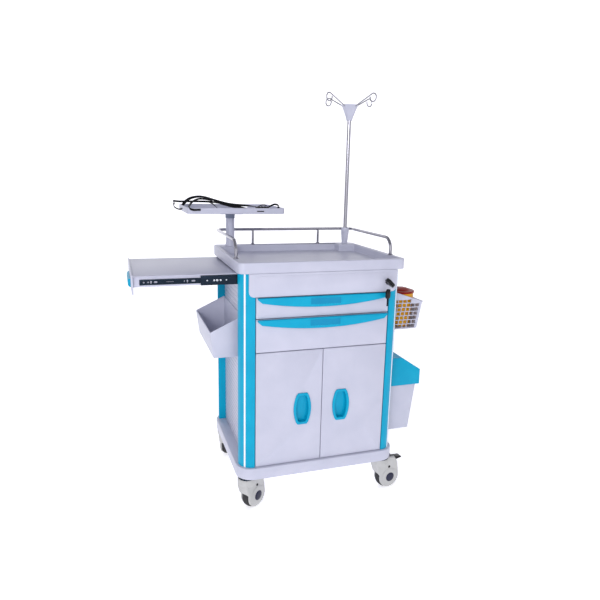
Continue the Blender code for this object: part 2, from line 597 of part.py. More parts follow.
def straps():
    pivot = (POST_X, POST_Y, 0)
    strap("strap_long", [
        (-0.412, 0.290, 1.0905, 0), (-0.425, 0.288, 1.1030, 10), (-0.413, 0.278, 1.1265, 25), (-0.391, 0.262, 1.1410, 30),
        (-0.366, 0.250, 1.1440, 30), (-0.335, 0.236, 1.1385, 28), (-0.300, 0.216, 1.1265, 24), (-0.262, 0.196, 1.1160, 18),
        (-0.225, 0.170, 1.1115, 12), (-0.193, 0.140, 1.1090, 6), (-0.172, 0.115, 1.1040, 0),
    ], pivot)
    strap("strap_short", [
        (-0.1110, 0.115, 1.1040, 0), (-0.102, 0.113, 1.1130, 10), (-0.088, 0.110, 1.1185, 15), (-0.076, 0.106, 1.1130, 10),
        (-0.072, 0.104, 1.1020, 0), (-0.078, 0.104, 1.0935, 0),
    ], pivot)
    buckle = block("strap_buckle", (-0.1645, 0.1030, 1.0995), (-0.1135, 0.1270, 1.1085), GREY_PLASTIC, pivot, bevel=0.002)
    cut(buckle, block("buckle_window", (-0.1480, 0.1070, 1.09), (-0.1300, 0.1230, 1.12), GREY_PLASTIC, pivot))


# ---------------------------------------------------------------- bins hung on the sides

def hung_bin(name, outline, y_range, finish, wall=BIN_WALL):
    """An open bin of one outline along Y. Its first and last points are the ends of its open top."""
    body = sheet(name, [outline], *y_range, finish, "Y")
    xs = [x for x, _ in outline]
    left, right, floor = min(xs), max(xs), min(z for _, z in outline)
    rim_a, rim_b = outline[0], outline[-1]
    side = 1 if rim_b[0] > rim_a[0] else -1
    foot = [p for p in outline if p[1] == floor]
    a, b = sorted(foot, key=lambda p: side * p[0])
    hollow = [
        (rim_a[0] + side * wall, rim_a[1] + 0.03), (a[0] + side * wall, floor + wall), (b[0] - side * wall, floor + wall),
        (rim_b[0] - side * wall, rim_b[1]), (rim_b[0] - side * wall, rim_a[1] + 0.03),
    ]
    cut(body, sheet(name + "_hollow", [hollow[::side]], y_range[0] + wall, y_range[1] - wall, finish, "Y"))
    return body, left, right


def bins():
    hung_bin("side_bin", [(-HANG_X, 0.7350), (-HANG_X, 0.5870), (-0.3830, 0.5870), (-0.3955, 0.6800)], SIDE_BIN_Y, WHITE_ABS)
    hung_bin("side_basket", [(HANG_X, 0.8140), (HANG_X, 0.6500), (0.4290, 0.6500), (0.4470, 0.7560)], BASKET_Y, WHITE_ABS)

    body, _, _ = hung_bin("waste_bin", [(HANG_X, 0.4090), (HANG_X, 0.2170), (0.4240, 0.2170), (0.4470, 0.4090)],
                          WASTE_BODY_Y, WHITE_ABS)
    join(body, block("waste_back_plate", (HANG_X, WASTE_BODY_Y[0], 0.3900), (HANG_X + BIN_WALL, WASTE_BODY_Y[1], 0.5470), WHITE_ABS))

    pivot = (WASTE_HINGE[0], (WASTE_LID_Y[0] + WASTE_LID_Y[1]) / 2, WASTE_HINGE[1])
    low, wall = 0.4090 + GAP, 0.0025
    back = HANG_X + BIN_WALL + 0.0060
    shell = [(back, 0.5270), (back, low), (0.4610, low), (0.4605, 0.4720), (0.3750, 0.5270)]
    lid = sheet("waste_lid", [shell], *WASTE_LID_Y, TEAL_ABS, "Y", pivot)
    hollow = [(back - 0.01, 0.5270 - wall), (back - 0.01, low - 0.01), (0.4610 - wall, low - 0.01),
              (0.4605 - wall, 0.4720 - wall / 2), (0.3750 - wall / 2, 0.5270 - wall)]
    cut(lid, sheet("waste_lid_hollow", [hollow], WASTE_LID_Y[0] + wall, WASTE_LID_Y[1] - wall, TEAL_ABS, "Y", pivot))
    join(lid, drum("waste_lid_knuckle", pivot, 0.0120, 0.2200, TEAL_ABS, "Y", 16, pivot))
    middle = pivot[1]
    join(lid, block("waste_lid_boss", (0.3160, middle - 0.055, 0.5200), (0.3580, middle + 0.055, 0.5515), TEAL_ABS, pivot,
                    bevel=0.006))

    centre = (SHARPS_X, SHARPS_Y, 0)
    wall = 0.002
    turned("sharps_box", [(0, SHARPS_BOTTOM + wall), (0.0452 - wall, SHARPS_BOTTOM + wall), (0.0535 - wall, SHARPS_TOP),
                          (0.0535, SHARPS_TOP), (0.0452, SHARPS_BOTTOM), (0, SHARPS_BOTTOM)], centre, YELLOW_PP)
    lid_low = SHARPS_TOP + GAP
    turned("sharps_lid", [(0, lid_low + 0.016), (0.030, lid_low + 0.016), (0.050, lid_low + 0.010), (0.0560, lid_low + 0.007),
                          (0.0560, lid_low), (0, lid_low)], centre, RED_PP)


# ---------------------------------------------------------------- lock

def lock():
    """A cam lock in the fascia with its key in it, turned part way."""
    front = FRONT_Y - GAP - FASCIA_SHEET
    centre = (LOCK_X, 0, LOCK_Z)
    profile = [(0, -(front + 0.0240)), (0.0080, -(front + 0.0240)), (0.0080, -front + GAP), (0.0102, -front + GAP),
               (0.0095, -front + 0.0030), (0, -front + 0.0030)][::-1]
    barrel = turned("lock_barrel", profile, centre, CHROME, 20, "Y")
    turn = Matrix.Translation(centre) @ Matrix.Rotation(KEY_TURN, 4, "Y") @ Matrix.Translation(-Vector(centre))

    slot = block("key_slot", (LOCK_X - 0.0044, front - 0.01, LOCK_Z - 0.0013), (LOCK_X + 0.0044, front + 0.0190, LOCK_Z + 0.0013),
                 CHROME)
    blade = block("lock_key", (LOCK_X - 0.0040, front - 0.0080, LOCK_Z - 0.0009), (LOCK_X + 0.0040, front + 0.0185, LOCK_Z + 0.0009),
                  BLACK_PLASTIC)
    bow = sheet("key_bow", [[(LOCK_X + 0.0145 * cos(a), front - 0.0205 + 0.0150 * sin(a))
                             for a in (tau * i / 20 for i in range(20))],
                            [(LOCK_X + 0.0022 * cos(a), front - 0.0300 + 0.0022 * sin(a))
                             for a in (-tau * i / 10 for i in range(10))]],
                LOCK_Z - 0.0021, LOCK_Z + 0.0021, BLACK_PLASTIC)
    for piece in (slot, blade, bow):
        piece.data.transform(turn)
    cut(barrel, slot)
    join(blade, bow)
    pivot = Vector((LOCK_X, front, LOCK_Z))
    blade.data.transform(Matrix.Translation(-pivot))
    blade.location = pivot

    # The spare key hangs below, on a ring through the first key's bow.
    x, y, top = SPARE_KEY
    spare = block("spare_key", (-0.0040, -0.0010, top - 0.0580), (0.0040, 0.0010, top - 0.0200), BLACK_PLASTIC)
    eye = [(0.0022 * cos(a), top - 0.0035 + 0.0022 * sin(a)) for a in (-tau * i / 10 for i in range(10))]
    handle = [(0.0125 * cos(a), top - 0.0125 + 0.0125 * sin(a)) for a in (tau * i / 20 for i in range(20))]
    spare_bow = sheet("spare_bow", [handle, eye], -0.0015, 0.0015, BLACK_PLASTIC, "Y")
    turn = Matrix.Translation((x, y, 0)) @ Matrix.Rotation(SPARE_KEY_TURN, 4, "Z")
    for piece in (spare, spare_bow):
        piece.data.transform(turn)
    join(spare, spare_bow)
    spare.data.transform(Matrix.Translation(-pivot))
    spare.location = pivot


# ---------------------------------------------------------------- casters

def caster(name, side_x, side_y, bearing):
    """A swivel fork with side shrouds, its wheel, and a brake pedal on two of the four."""
    stem = Vector((side_x * CASTER_X, side_y * CASTER_Y, 0))
    turn = Matrix.Translation(stem) @ Matrix.Rotation(radians(bearing), 4, "Z")
    hub = Vector((CASTER_TRAIL, 0, WHEEL_RADIUS))
    top, half = BASE_BOTTOM - GAP, 0.0240

    # The moulded shroud: a round cheek over each side of the wheel, running up into the swivel's housing.
    cheek = arc((hub.x, hub.z), SHROUD_RADIUS, 168, 362, 14)
    outline = cheek + [(0.0760, 0.1080), (0.0620, 0.1340), (-0.0400, 0.1340), (-0.0415, 0.1020), (-0.0300, 0.0740)]
    fork = sheet(f"caster_fork_{name}", [outline], -half, half, CASTER_GREY, "Y")
    edge = fork.modifiers.new("rounded_edges", "BEVEL")
    edge.width, edge.segments, edge.limit_method, edge.angle_limit = 0.004, 2, "ANGLE", radians(40)
    swell = drum(f"housing_{name}", (0, 0, 0.1210), 0.0425, 0.0240, CASTER_GREY)
    race = drum(f"swivel_race_{name}", (0, 0, (top + 0.1300) / 2), 0.0310, top - 0.1300, CASTER_GREY)
    slot = drum(f"wheel_slot_{name}", hub, WHEEL_RADIUS + 0.0025, WHEEL_WIDTH + 0.0020, CASTER_GREY, "Y", 28)
    axle = drum(f"axle_{name}", hub, 0.0045, 2 * half - 0.001, CASTER_GREY, "Y", 12)
    bore, w, rim = 0.0050, WHEEL_WIDTH / 2, WHEEL_RADIUS
    profile = [(bore, w), (0.046, w), (rim, w - 0.006), (rim, 0.006 - w), (0.046, -w), (bore, -w), (bore, w)]
    wheel = turned(f"caster_wheel_{name}", profile, (0, 0, 0), TYRE_RUBBER, 28)
    steps = [(join, swell), (join, race), (cut, slot), (join, axle)]
    if name in BRAKED:
        notch = block(f"pedal_notch_{name}", (0.0390, -0.0142, 0.1055), (0.0900, 0.0142, 0.1410), CASTER_GREY)
        steps.append((cut, notch))
    for _, piece in steps:
        piece.data.transform(turn)
    fork.data.transform(turn)
    for operation, piece in steps:
        operation(fork, piece)
    fork.data.transform(Matrix.Translation(-stem))
    fork.location = stem
    wheel.location = turn @ hub
    wheel.rotation_euler = (pi / 2, 0, radians(bearing))

    if name in BRAKED:
        pivot = turn @ Vector(PEDAL_PIVOT)
        tread = [(0.0420, 0.1130), (0.0700, 0.1125), (0.0980, 0.1165), (0.0975, 0.1215), (0.0760, 0.1240),
                 (0.0560, 0.1265), (0.0440, 0.1250)]
        lever = sheet(f"brake_pedal_{name}", [tread], -0.0128, 0.0128, BLACK_PLASTIC, "Y")
        edge = lever.modifiers.new("rounded_edges", "BEVEL")
        edge.width, edge.segments, edge.limit_method = 0.0015, 2, "ANGLE"
        lever.data.transform(turn)
        lever.data.transform(Matrix.Translation(-pivot))
        lever.location = pivot


# ---------------------------------------------------------------- assembly

tray_top()
guard_rail()
carcass()
fascia()
drawer("drawer_1", DRAWER_SPLIT, FASCIA_BOTTOM)
drawer("drawer_2", DOOR_TOP, DRAWER_SPLIT)
door("door_left", -1)
door("door_right", 1)
writing_shelf()
drip_pole()
platform()
straps()
bins()
lock()
for caster_name, (where_x, where_y, trail_bearing) in CASTERS.items():
    caster(caster_name, where_x, where_y, trail_bearing)
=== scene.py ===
# %% [markdown]
# # A hospital crash cart
# A crash cart is a moulded plastic cabinet on four casters. Nurses wheel it to a patient, so everything on
# it is within reach: a railed tray top, drawers, a cupboard, a pull-out writing shelf, bins on both sides,
# a drip pole and a platform for a defibrillator. The solids already exist as a measured model. This
# notebook loads them as a fixed frame, gives each one softened edges and a finish, and remodels the pieces
# whose detail the eye looks for.

import json
from math import atan2, cos, pi, radians, sin, tan

import bmesh
import bpy
from mathutils import Matrix, Vector


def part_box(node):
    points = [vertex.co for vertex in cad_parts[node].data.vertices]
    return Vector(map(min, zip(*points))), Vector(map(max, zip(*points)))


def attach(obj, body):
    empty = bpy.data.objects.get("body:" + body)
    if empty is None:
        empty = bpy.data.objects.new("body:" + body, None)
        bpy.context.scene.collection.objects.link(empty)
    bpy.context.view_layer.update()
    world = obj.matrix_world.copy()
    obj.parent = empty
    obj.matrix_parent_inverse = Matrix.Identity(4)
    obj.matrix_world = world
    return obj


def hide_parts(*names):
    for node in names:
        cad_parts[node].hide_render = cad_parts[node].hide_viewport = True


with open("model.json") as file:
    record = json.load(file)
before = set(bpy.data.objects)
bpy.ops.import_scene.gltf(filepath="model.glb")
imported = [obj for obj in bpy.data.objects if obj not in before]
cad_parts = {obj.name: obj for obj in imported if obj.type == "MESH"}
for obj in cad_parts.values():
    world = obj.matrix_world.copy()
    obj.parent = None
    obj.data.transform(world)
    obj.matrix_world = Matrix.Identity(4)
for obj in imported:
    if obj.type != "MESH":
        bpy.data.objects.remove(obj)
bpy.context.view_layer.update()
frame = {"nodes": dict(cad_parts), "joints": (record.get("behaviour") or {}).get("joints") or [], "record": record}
joints = {joint["name"]: joint for joint in frame["joints"]}

# %% [markdown]
# ## Colours and nodes
# Blender works in linear light, and people quote colours as sRGB hex, so one function turns hex to linear.
# One more adds a shader node with its settings and links, which keeps every material below to a few lines.

# %% Colour and node helpers
def linear(code, alpha=1.0):
    values = [int(code[i:i + 2], 16) / 255 for i in (1, 3, 5)]
    return (*[v / 12.92 if v <= 0.04045 else ((v + 0.055) / 1.055) ** 2.4 for v in values], alpha)


def add(tree, kind, inputs=(), stops=(), **settings):
    """A node of this kind. An input is a value or another node's output. Stops are a ramp's (place, hex) pairs."""
    node = tree.nodes.new(kind)
    for name, value in settings.items():
        setattr(node, name, value)
    for name, value in dict(inputs).items():
        if isinstance(value, bpy.types.NodeSocket):
            tree.links.new(value, node.inputs[name])
        else:
            node.inputs[name].default_value = value
    for i, (place, code) in enumerate(stops):
        node.color_ramp.elements[i].position = place
        node.color_ramp.elements[i].color = linear(code)
    return node


def started(name):
    """A new material: its node tree, its Principled shader and the object-space coordinates in metres."""
    made = bpy.data.materials.new(name)
    made.use_nodes = True
    tree = made.node_tree
    place = add(tree, "ShaderNodeTexCoord").outputs["Object"]
    return made, tree, tree.nodes["Principled BSDF"], place


# %% [markdown]
# ## Moulded plastic
# Most of the cart is injection-moulded ABS. The steel mould is spark-eroded, which leaves an orange-peel
# grain of about 0.3 mm and a satin sheen, and in handling the sheen gets uneven patches where hands wipe
# it. The grain is far too fine to show at this distance, so it is drawn about ten times as coarse and very
# shallow. A slow noise moves the colour and the roughness a little, because a big moulding is never one
# even tone.

# %% Moulded plastic
GRAIN_MM, SMUDGE_MM = 3.0, 90.0


def moulded_plastic(name, light, dark, roughness, grain=0.04, ior=1.53, coat=0.0, gloss=0.5):
    made, tree, shader, place = started(name)
    smudges = add(tree, "ShaderNodeTexNoise", {"Vector": place, "Scale": 1000 / SMUDGE_MM,
                                               "Detail": 4.0}).outputs["Fac"]
    tint = add(tree, "ShaderNodeValToRGB", {"Fac": smudges}, [(0.30, dark), (0.70, light)])
    tree.links.new(tint.outputs["Color"], shader.inputs["Base Color"])
    sheen = add(tree, "ShaderNodeMapRange", {"Value": smudges, "From Min": 0.3, "From Max": 0.7,
                                             "To Min": roughness - 0.04, "To Max": roughness + 0.06})
    tree.links.new(sheen.outputs["Result"], shader.inputs["Roughness"])
    peel = add(tree, "ShaderNodeTexNoise", {"Vector": place, "Scale": 1000 / GRAIN_MM,
                                            "Detail": 2.0}).outputs["Fac"]
    bump = add(tree, "ShaderNodeBump", {"Height": peel, "Strength": grain, "Distance": 0.0004})
    tree.links.new(bump.outputs["Normal"], shader.inputs["Normal"])
    shader.inputs["IOR"].default_value = ior
    shader.inputs["Specular IOR Level"].default_value = gloss
    shader.inputs["Coat Weight"].default_value = coat
    shader.inputs["Coat Roughness"].default_value = 0.25
    return made


# White ABS: a cool, slightly violet white with a satin sheen.
white_abs = moulded_plastic("white_abs", "#C5C6D5", "#BDBFCF", 0.36, coat=0.05)
# The strips in the corner posts are soft white PVC, brighter than the panels.
white_pvc = moulded_plastic("white_pvc", "#F4F5FA", "#ECEDF5", 0.40)
# Teal ABS: the same resin, coloured through, and a little glossier.
teal_abs = moulded_plastic("teal_abs", "#00A6C8", "#009BC0", 0.32, gloss=0.18)
# The label holders' inserts are a slightly darker, flatter tint of it.
label_abs = moulded_plastic("label_abs", "#0090B8", "#0088B2", 0.42, gloss=0.22)
# Glass-filled nylon for the caster forks: warm grey, dull, with a coarser skin.
grey_nylon = moulded_plastic("grey_nylon", "#BFBFBD", "#B2B2B0", 0.46, grain=0.10)
# Grey acetal for the swivel and the buckle.
grey_acetal = moulded_plastic("grey_acetal", "#8E97AC", "#828BA0", 0.42)
# Black ABS for the pedals and the keys' heads, and dark blue caps on the wheels' hubs.
black_abs = moulded_plastic("black_abs", "#0B0B0E", "#070709", 0.38, grain=0.08, gloss=0.25)
navy_abs = moulded_plastic("navy_abs", "#2B2C42", "#232438", 0.34, gloss=0.25)
# Polypropylene for the sharps container: waxy, a little translucent.
yellow_pp = moulded_plastic("yellow_polypropylene", "#E9A80C", "#DE9A04", 0.40, ior=1.49, gloss=0.35)
red_pp = moulded_plastic("red_polypropylene", "#931C08", "#7C1606", 0.36, ior=1.49, gloss=0.18)
for waxy, depth in ((yellow_pp, 0.004), (red_pp, 0.002)):
    waxy.node_tree.nodes["Principled BSDF"].inputs["Subsurface Weight"].default_value = 0.15
    waxy.node_tree.nodes["Principled BSDF"].inputs["Subsurface Scale"].default_value = depth
print("plastics:", [made.name for made in bpy.data.materials])

# %% [markdown]
# ## Metals, rubber and webbing
# The rail, pole and hooks are polished stainless tube. Polishing leaves faint rings round the tube, so the
# roughness varies in thin bands. The drawer slides are pressed from steel with a black zinc finish, which
# is glossy and uneven. The tread is polyurethane, and the strap is black polypropylene webbing woven from
# flat yarns about 1.5 mm apart.

# %% Metals
def metal(name, colour, roughness, streak_mm, stretch=(1, 1, 1), uneven=0.08):
    made, tree, shader, place = started(name)
    along = add(tree, "ShaderNodeMapping", {"Vector": place, "Scale": stretch}).outputs["Vector"]
    streaks = add(tree, "ShaderNodeTexNoise", {"Vector": along, "Scale": 1000 / streak_mm,
                                               "Detail": 3.0}).outputs["Fac"]
    spread = add(tree, "ShaderNodeMapRange", {"Value": streaks, "From Min": 0.3, "From Max": 0.7,
                                              "To Min": roughness, "To Max": roughness + uneven})
    tree.links.new(spread.outputs["Result"], shader.inputs["Roughness"])
    shader.inputs["Base Color"].default_value = linear(colour)
    shader.inputs["Metallic"].default_value = 1.0
    return made


# The stainless is given a darker colour than real steel, which paints darker reflections onto the rail, pole and
# hooks.
stainless = metal("polished_stainless", "#A5A4AB", 0.12, 6.0, (1, 1, 8))
chrome = metal("chrome_plate", "#D6D6DA", 0.08, 10.0)
bright_zinc = metal("bright_zinc", "#C4C8CE", 0.30, 4.0, uneven=0.15)
black_zinc = metal("black_zinc", "#222B36", 0.26, 12.0, (1, 6, 6), 0.14)


def tread_rubber():
    """Cast polyurethane: dark grey, dull, with fine dust that lightens it in patches."""
    made, tree, shader, place = started("polyurethane_tread")
    dust = add(tree, "ShaderNodeTexNoise", {"Vector": place, "Scale": 60.0, "Detail": 6.0}).outputs["Fac"]
    tint = add(tree, "ShaderNodeValToRGB", {"Fac": dust}, [(0.35, "#18181B"), (0.75, "#38383A")])
    tree.links.new(tint.outputs["Color"], shader.inputs["Base Color"])
    shader.inputs["Roughness"].default_value = 0.72
    bump = add(tree, "ShaderNodeBump", {"Height": dust, "Strength": 0.2, "Distance": 0.0006})
    tree.links.new(bump.outputs["Normal"], shader.inputs["Normal"])
    return made


# A wave's bands are 2 pi / (20 x scale) metres apart, so this scale puts the yarns 2 mm apart.
YARN_SCALE = 160.0


def woven_webbing():
    """Black webbing: two sets of yarns over and under each other, drawn 2 mm apart so that they show."""
    made, tree, shader, place = started("black_webbing")
    yarns = {"Vector": place, "Scale": YARN_SCALE, "Distortion": 0.6}
    warp = add(tree, "ShaderNodeTexWave", yarns, bands_direction="X").outputs["Fac"]
    weft = add(tree, "ShaderNodeTexWave", yarns, bands_direction="Y").outputs["Fac"]
    weave = add(tree, "ShaderNodeMath", {0: warp, 1: weft}, operation="MULTIPLY").outputs[0]
    tint = add(tree, "ShaderNodeValToRGB", {"Fac": weave}, [(0.0, "#050507"), (1.0, "#16161C")])
    tree.links.new(tint.outputs["Color"], shader.inputs["Base Color"])
    bump = add(tree, "ShaderNodeBump", {"Height": weave, "Strength": 0.5, "Distance": 0.0005})
    tree.links.new(bump.outputs["Normal"], shader.inputs["Normal"])
    shader.inputs["Roughness"].default_value = 0.68
    shader.inputs["Specular IOR Level"].default_value = 0.2
    shader.inputs["Sheen Weight"].default_value = 0.04
    return made


rubber, webbing = tread_rubber(), woven_webbing()
print(len(bpy.data.materials), "materials, metals, rubber and webbing included")

# %% [markdown]
# ## Turning a mesh into a piece
# Every new shape starts as a bmesh, where operators cut, round and spin it. `piece` makes it an object,
# smooths it where its faces meet at less than 35 degrees, and ties it to the body that it moves with.

# %% From bmesh to piece
SMOOTH_UNDER = radians(35)


def as_mesh(name, bm):
    """The bmesh as a mesh, with the bmesh used up."""
    mesh = bpy.data.meshes.new(name)
    bm.to_mesh(mesh)
    bm.free()
    return mesh


def placed(name, data):
    """A new object in the scene, at the origin."""
    obj = bpy.data.objects.new(name, data)
    bpy.context.scene.collection.objects.link(obj)
    return obj


def evaluated(obj):
    """The shape that an object's curve settings or modifiers give it, as a bmesh."""
    bm = bmesh.new()
    final = obj.evaluated_get(bpy.context.evaluated_depsgraph_get())
    bm.from_mesh(bpy.data.meshes.new_from_object(final))
    return bm


def piece(name, bm, body, slot, finish, replaces=()):
    mesh = as_mesh(name, bm)
    mesh.materials.append(finish)
    mesh.shade_smooth()
    mesh.set_sharp_from_angle(angle=SMOOTH_UNDER)
    obj = placed(name, mesh)
    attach(obj, body)
    if replaces:
        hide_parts(*replaces)
    return obj


def sharp_edges(bm, angle=35, shortest=0.0):
    """Edges whose two faces meet at more than an angle, leaving out the short ones of small holes."""
    return [e for e in bm.edges if len(e.link_faces) == 2 and e.calc_face_angle() > radians(angle)
            and e.calc_length() > shortest]


def round_edges(bm, edges, width, segments=3):
    bmesh.ops.bevel(bm, geom=edges, offset=width, offset_type="OFFSET", segments=segments, profile=0.5,
                    affect="EDGES", clamp_overlap=True, material=-1)


def box(low, high, edge=0.0, segments=2):
    """A block between two corners with rounded edges."""
    bm = bmesh.new()
    low, high = Vector(low), Vector(high)
    bmesh.ops.create_cube(bm, size=1.0, matrix=Matrix.Translation((low + high) / 2)
                          @ Matrix.Diagonal((*(high - low), 1.0)))
    if edge:
        round_edges(bm, list(bm.edges), edge, segments)
    return bm


def turned(profile, steps=32):
    """A closed outline of (radius, height) spun about Z."""
    bm = bmesh.new()
    corners = [bm.verts.new((r, 0, z)) for r, z in profile]
    edges = [bm.edges.new(pair) for pair in zip(corners, corners[1:])]
    bmesh.ops.spin(bm, geom=corners + edges, cent=(0, 0, 0), axis=(0, 0, 1), angle=2 * pi, steps=steps,
                   use_merge=True)
    bmesh.ops.remove_doubles(bm, verts=bm.verts, dist=1e-6)
    bmesh.ops.recalc_face_normals(bm, faces=bm.faces)
    return bm


def bar_of(radius, steps, low=-0.02, high=0.02):
    """A plain round bar along Z, mostly used as a drill."""
    return turned([(0, low), (radius, low), (radius, high), (0, high)], steps)


def prism(outline, low, high):
    """A flat outline of (x, z) points, pushed along Y from low to high."""
    bm = bmesh.new()
    face = bm.faces.new([bm.verts.new((x, low, z)) for x, z in outline])
    pushed = bmesh.ops.extrude_face_region(bm, geom=[face])
    far = [v for v in pushed["geom"] if isinstance(v, bmesh.types.BMVert)]
    bmesh.ops.translate(bm, verts=far, vec=(0, high - low, 0))
    bmesh.ops.recalc_face_normals(bm, faces=bm.faces)
    return bm


def arc(centre, radius, start, stop, steps=8):
    angles = [radians(start + (stop - start) * i / steps) for i in range(steps + 1)]
    return [(centre[0] + radius * cos(a), centre[1] + radius * sin(a)) for a in angles]


def merged(*parts):
    """Several bmeshes in one, each part consumed."""
    whole = bmesh.new()
    for part in parts:
        mesh = as_mesh("part", part)
        whole.from_mesh(mesh)
        bpy.data.meshes.remove(mesh)
    return whole


def moved(bm, matrix):
    bmesh.ops.transform(bm, matrix=matrix, verts=bm.verts)
    return bm


def carved(bm, tool, operation="DIFFERENCE"):
    """Cuts the tool from the shape, or joins them into one skin, and uses both up."""
    pair = [placed("part", as_mesh("part", part)) for part in (bm, tool)]
    step = pair[0].modifiers.new("carve", "BOOLEAN")
    step.operation, step.object, step.solver = operation, pair[1], "EXACT"
    result = evaluated(pair[0])
    for obj in pair:
        bpy.data.objects.remove(obj)
    return result


# %% [markdown]
# ## Softened edges
# A real moulding has no knife edges: the mould is radiused so that the plastic flows and fingers aren't
# scratched. The measured solids are sharp, so a copy of each is merged, its flat areas are cleaned of
# triangle edges, and only its sharp edges are rounded. The copy then stands in for the solid.

# %% Softened copies
FINISH_OF_SLOT = {"white_abs": white_abs, "teal_abs": teal_abs, "chrome": chrome, "zinc_steel": black_zinc,
                  "grey_plastic": grey_acetal, "caster_grey": grey_nylon, "tyre_rubber": rubber,
                  "black_plastic": black_abs, "webbing": webbing, "yellow_pp": yellow_pp, "red_pp": red_pp}
SLOT_OF = {row["node"]: row["material_slot"] for row in frame["record"]["subparts"]}
BODY_OF = {node: body for body, nodes in frame["record"]["behaviour"]["bodies"].items() for node in nodes}


def copied(node):
    """A merged bmesh copy of a solid, with one face for each flat area."""
    bm = bmesh.new()
    bm.from_mesh(frame["nodes"][node].data)
    bmesh.ops.remove_doubles(bm, verts=bm.verts, dist=2e-6)
    bmesh.ops.dissolve_limit(bm, angle_limit=radians(0.5), verts=bm.verts, edges=bm.edges)
    return bm


def softened(node, width, segments=3, angle=35, shortest=0.0, pick=None, finish=None):
    bm = copied(node)
    edges = [e for e in sharp_edges(bm, angle, shortest) if pick is None or pick(e)]
    if width and edges:
        round_edges(bm, edges, width, segments)
    slot = SLOT_OF[node]
    return piece(node + "_moulded", bm, BODY_OF[node], slot, finish or FINISH_OF_SLOT[slot], (node,))


def middle(edge):
    return (edge.verts[0].co + edge.verts[1].co) / 2


# The solids that no copy stands in for show their own mesh, so they get a finish too.
for node, solid in frame["nodes"].items():
    solid.data.materials.clear()
    solid.data.materials.append(FINISH_OF_SLOT[SLOT_OF[node]])
print(len(set(SLOT_OF.values())), "finishes on the solids")

# %% [markdown]
# ## Cabinet
# The cabinet is panels held between four quarter-round corner posts. Each post has a white strip pressed
# into a groove down its middle. The strip is a short arc spun about the post's own centre and given a
# thickness.

# %% Tray top, base and panels
tray_low, tray_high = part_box("tray_top")
softened("tray_top", 0.0045, 4, shortest=0.0055, pick=lambda e: middle(e).z > tray_low.z + 0.001)
softened("base_frame", 0.0)
softened("fascia_panel", 0.0016, 3, shortest=0.004)
for node in ("door_left", "door_right", "drawer_1", "drawer_2"):
    softened(node, 0.0)
for node in ("side_panel_left", "side_panel_right", "back_panel", "drawer_divider", "liner_left",
             "liner_right"):
    softened(node, 0.0008, 2)
print("tray", [round(v, 3) for v in tray_high - tray_low])

# %% Columns and their strips
# The strip sits a little nearer the front or the back than halfway round the post.
STRIP_WIDTH, STRIP_PROUD, STRIP_THICK, STRIP_LEAN = 0.0064, 0.0009, 0.0016, 0.90
base_top, tray_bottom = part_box("base_frame")[1].z, tray_low.z
for side_y, word_y in ((-1, "front"), (1, "back")):
    for side_x, word_x in ((-1, "left"), (1, "right")):
        node = f"column_{word_y}_{word_x}"
        softened(node, 0.0)
        low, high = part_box(node)
        radius = high.x - low.x
        centre = Vector((high.x if side_x < 0 else low.x, high.y if side_y < 0 else low.y, 0))
        half = STRIP_WIDTH / radius / 2
        bearing = atan2(side_y, side_x * STRIP_LEAN)
        bm = bmesh.new()
        start = centre + Matrix.Rotation(bearing - half, 3, "Z") @ Vector((radius + STRIP_PROUD, 0, 0))
        ends = [bm.verts.new((start.x, start.y, z)) for z in (low.z + 0.0005, high.z - 0.0005)]
        line = bm.edges.new(ends)
        bmesh.ops.spin(bm, geom=ends + [line], cent=centre, axis=(0, 0, 1), angle=2 * half, steps=4)
        bmesh.ops.recalc_face_normals(bm, faces=bm.faces)
        first = bm.faces[:][0]
        if (first.calc_center_median() - centre).xy.dot(first.normal.xy) < 0:
            bmesh.ops.reverse_faces(bm, faces=bm.faces)
        bmesh.ops.solidify(bm, geom=bm.faces[:], thickness=STRIP_THICK)
        piece(f"strip_{word_y}_{word_x}", bm, "cart_body", "white_abs", white_pvc)
print("strips", round(high.z - low.z, 3), "m long")

# %% Ribs on the side panels
RIB_PITCH, RIB_WIDTH, RIB_PROUD, RIB_MARGIN = 0.0165, 0.0060, 0.0018, 0.006
for word, side in (("left", -1), ("right", 1)):
    low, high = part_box(f"side_panel_{word}")
    face = low.x if side < 0 else high.x
    ribs, z = [], low.z + RIB_PITCH
    while z < high.z - RIB_PITCH / 2:
        ribs.append(box((face - RIB_PROUD, low.y + RIB_MARGIN, z - RIB_WIDTH / 2),
                        (face + RIB_PROUD, high.y - RIB_MARGIN, z + RIB_WIDTH / 2), 0.0008, 2))
        z += RIB_PITCH
    print(len(ribs), "ribs on the", word, "panel")
    piece(f"side_ribs_{word}", merged(*ribs), "cart_body", "white_abs", white_abs)

# %% Raised field on the fascia
low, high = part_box("fascia_panel")
bezel_low, bezel_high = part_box("lock_barrel")
lock_axis = (bezel_low + bezel_high) / 2
FIELD_MARGIN, FIELD_PROUD, BARREL_CLEARANCE = 0.0195, 0.0011, 0.0107
field = box((low.x + FIELD_MARGIN, low.y - FIELD_PROUD, low.z + 0.0040),
            (high.x - FIELD_MARGIN, low.y + 0.0010, high.z - 0.0090), 0.0009, 2)
hole = moved(bar_of(BARREL_CLEARANCE, 24),
             Matrix.Translation((lock_axis.x, low.y, lock_axis.z)) @ Matrix.Rotation(pi / 2, 4, "X"))
piece("fascia_field", carved(field, hole), "cart_body", "white_abs", white_abs)
print("fascia", round(high.x - low.x, 3), "m wide, with its lock at x", round(lock_axis.x, 3))

# %% [markdown]
# ## Handles
# A drawer's pull is a shallow crescent along its top edge, with a label holder at its middle: a thin frame
# with a darker insert. A door's pull is a dished oval with a rounded bezel.

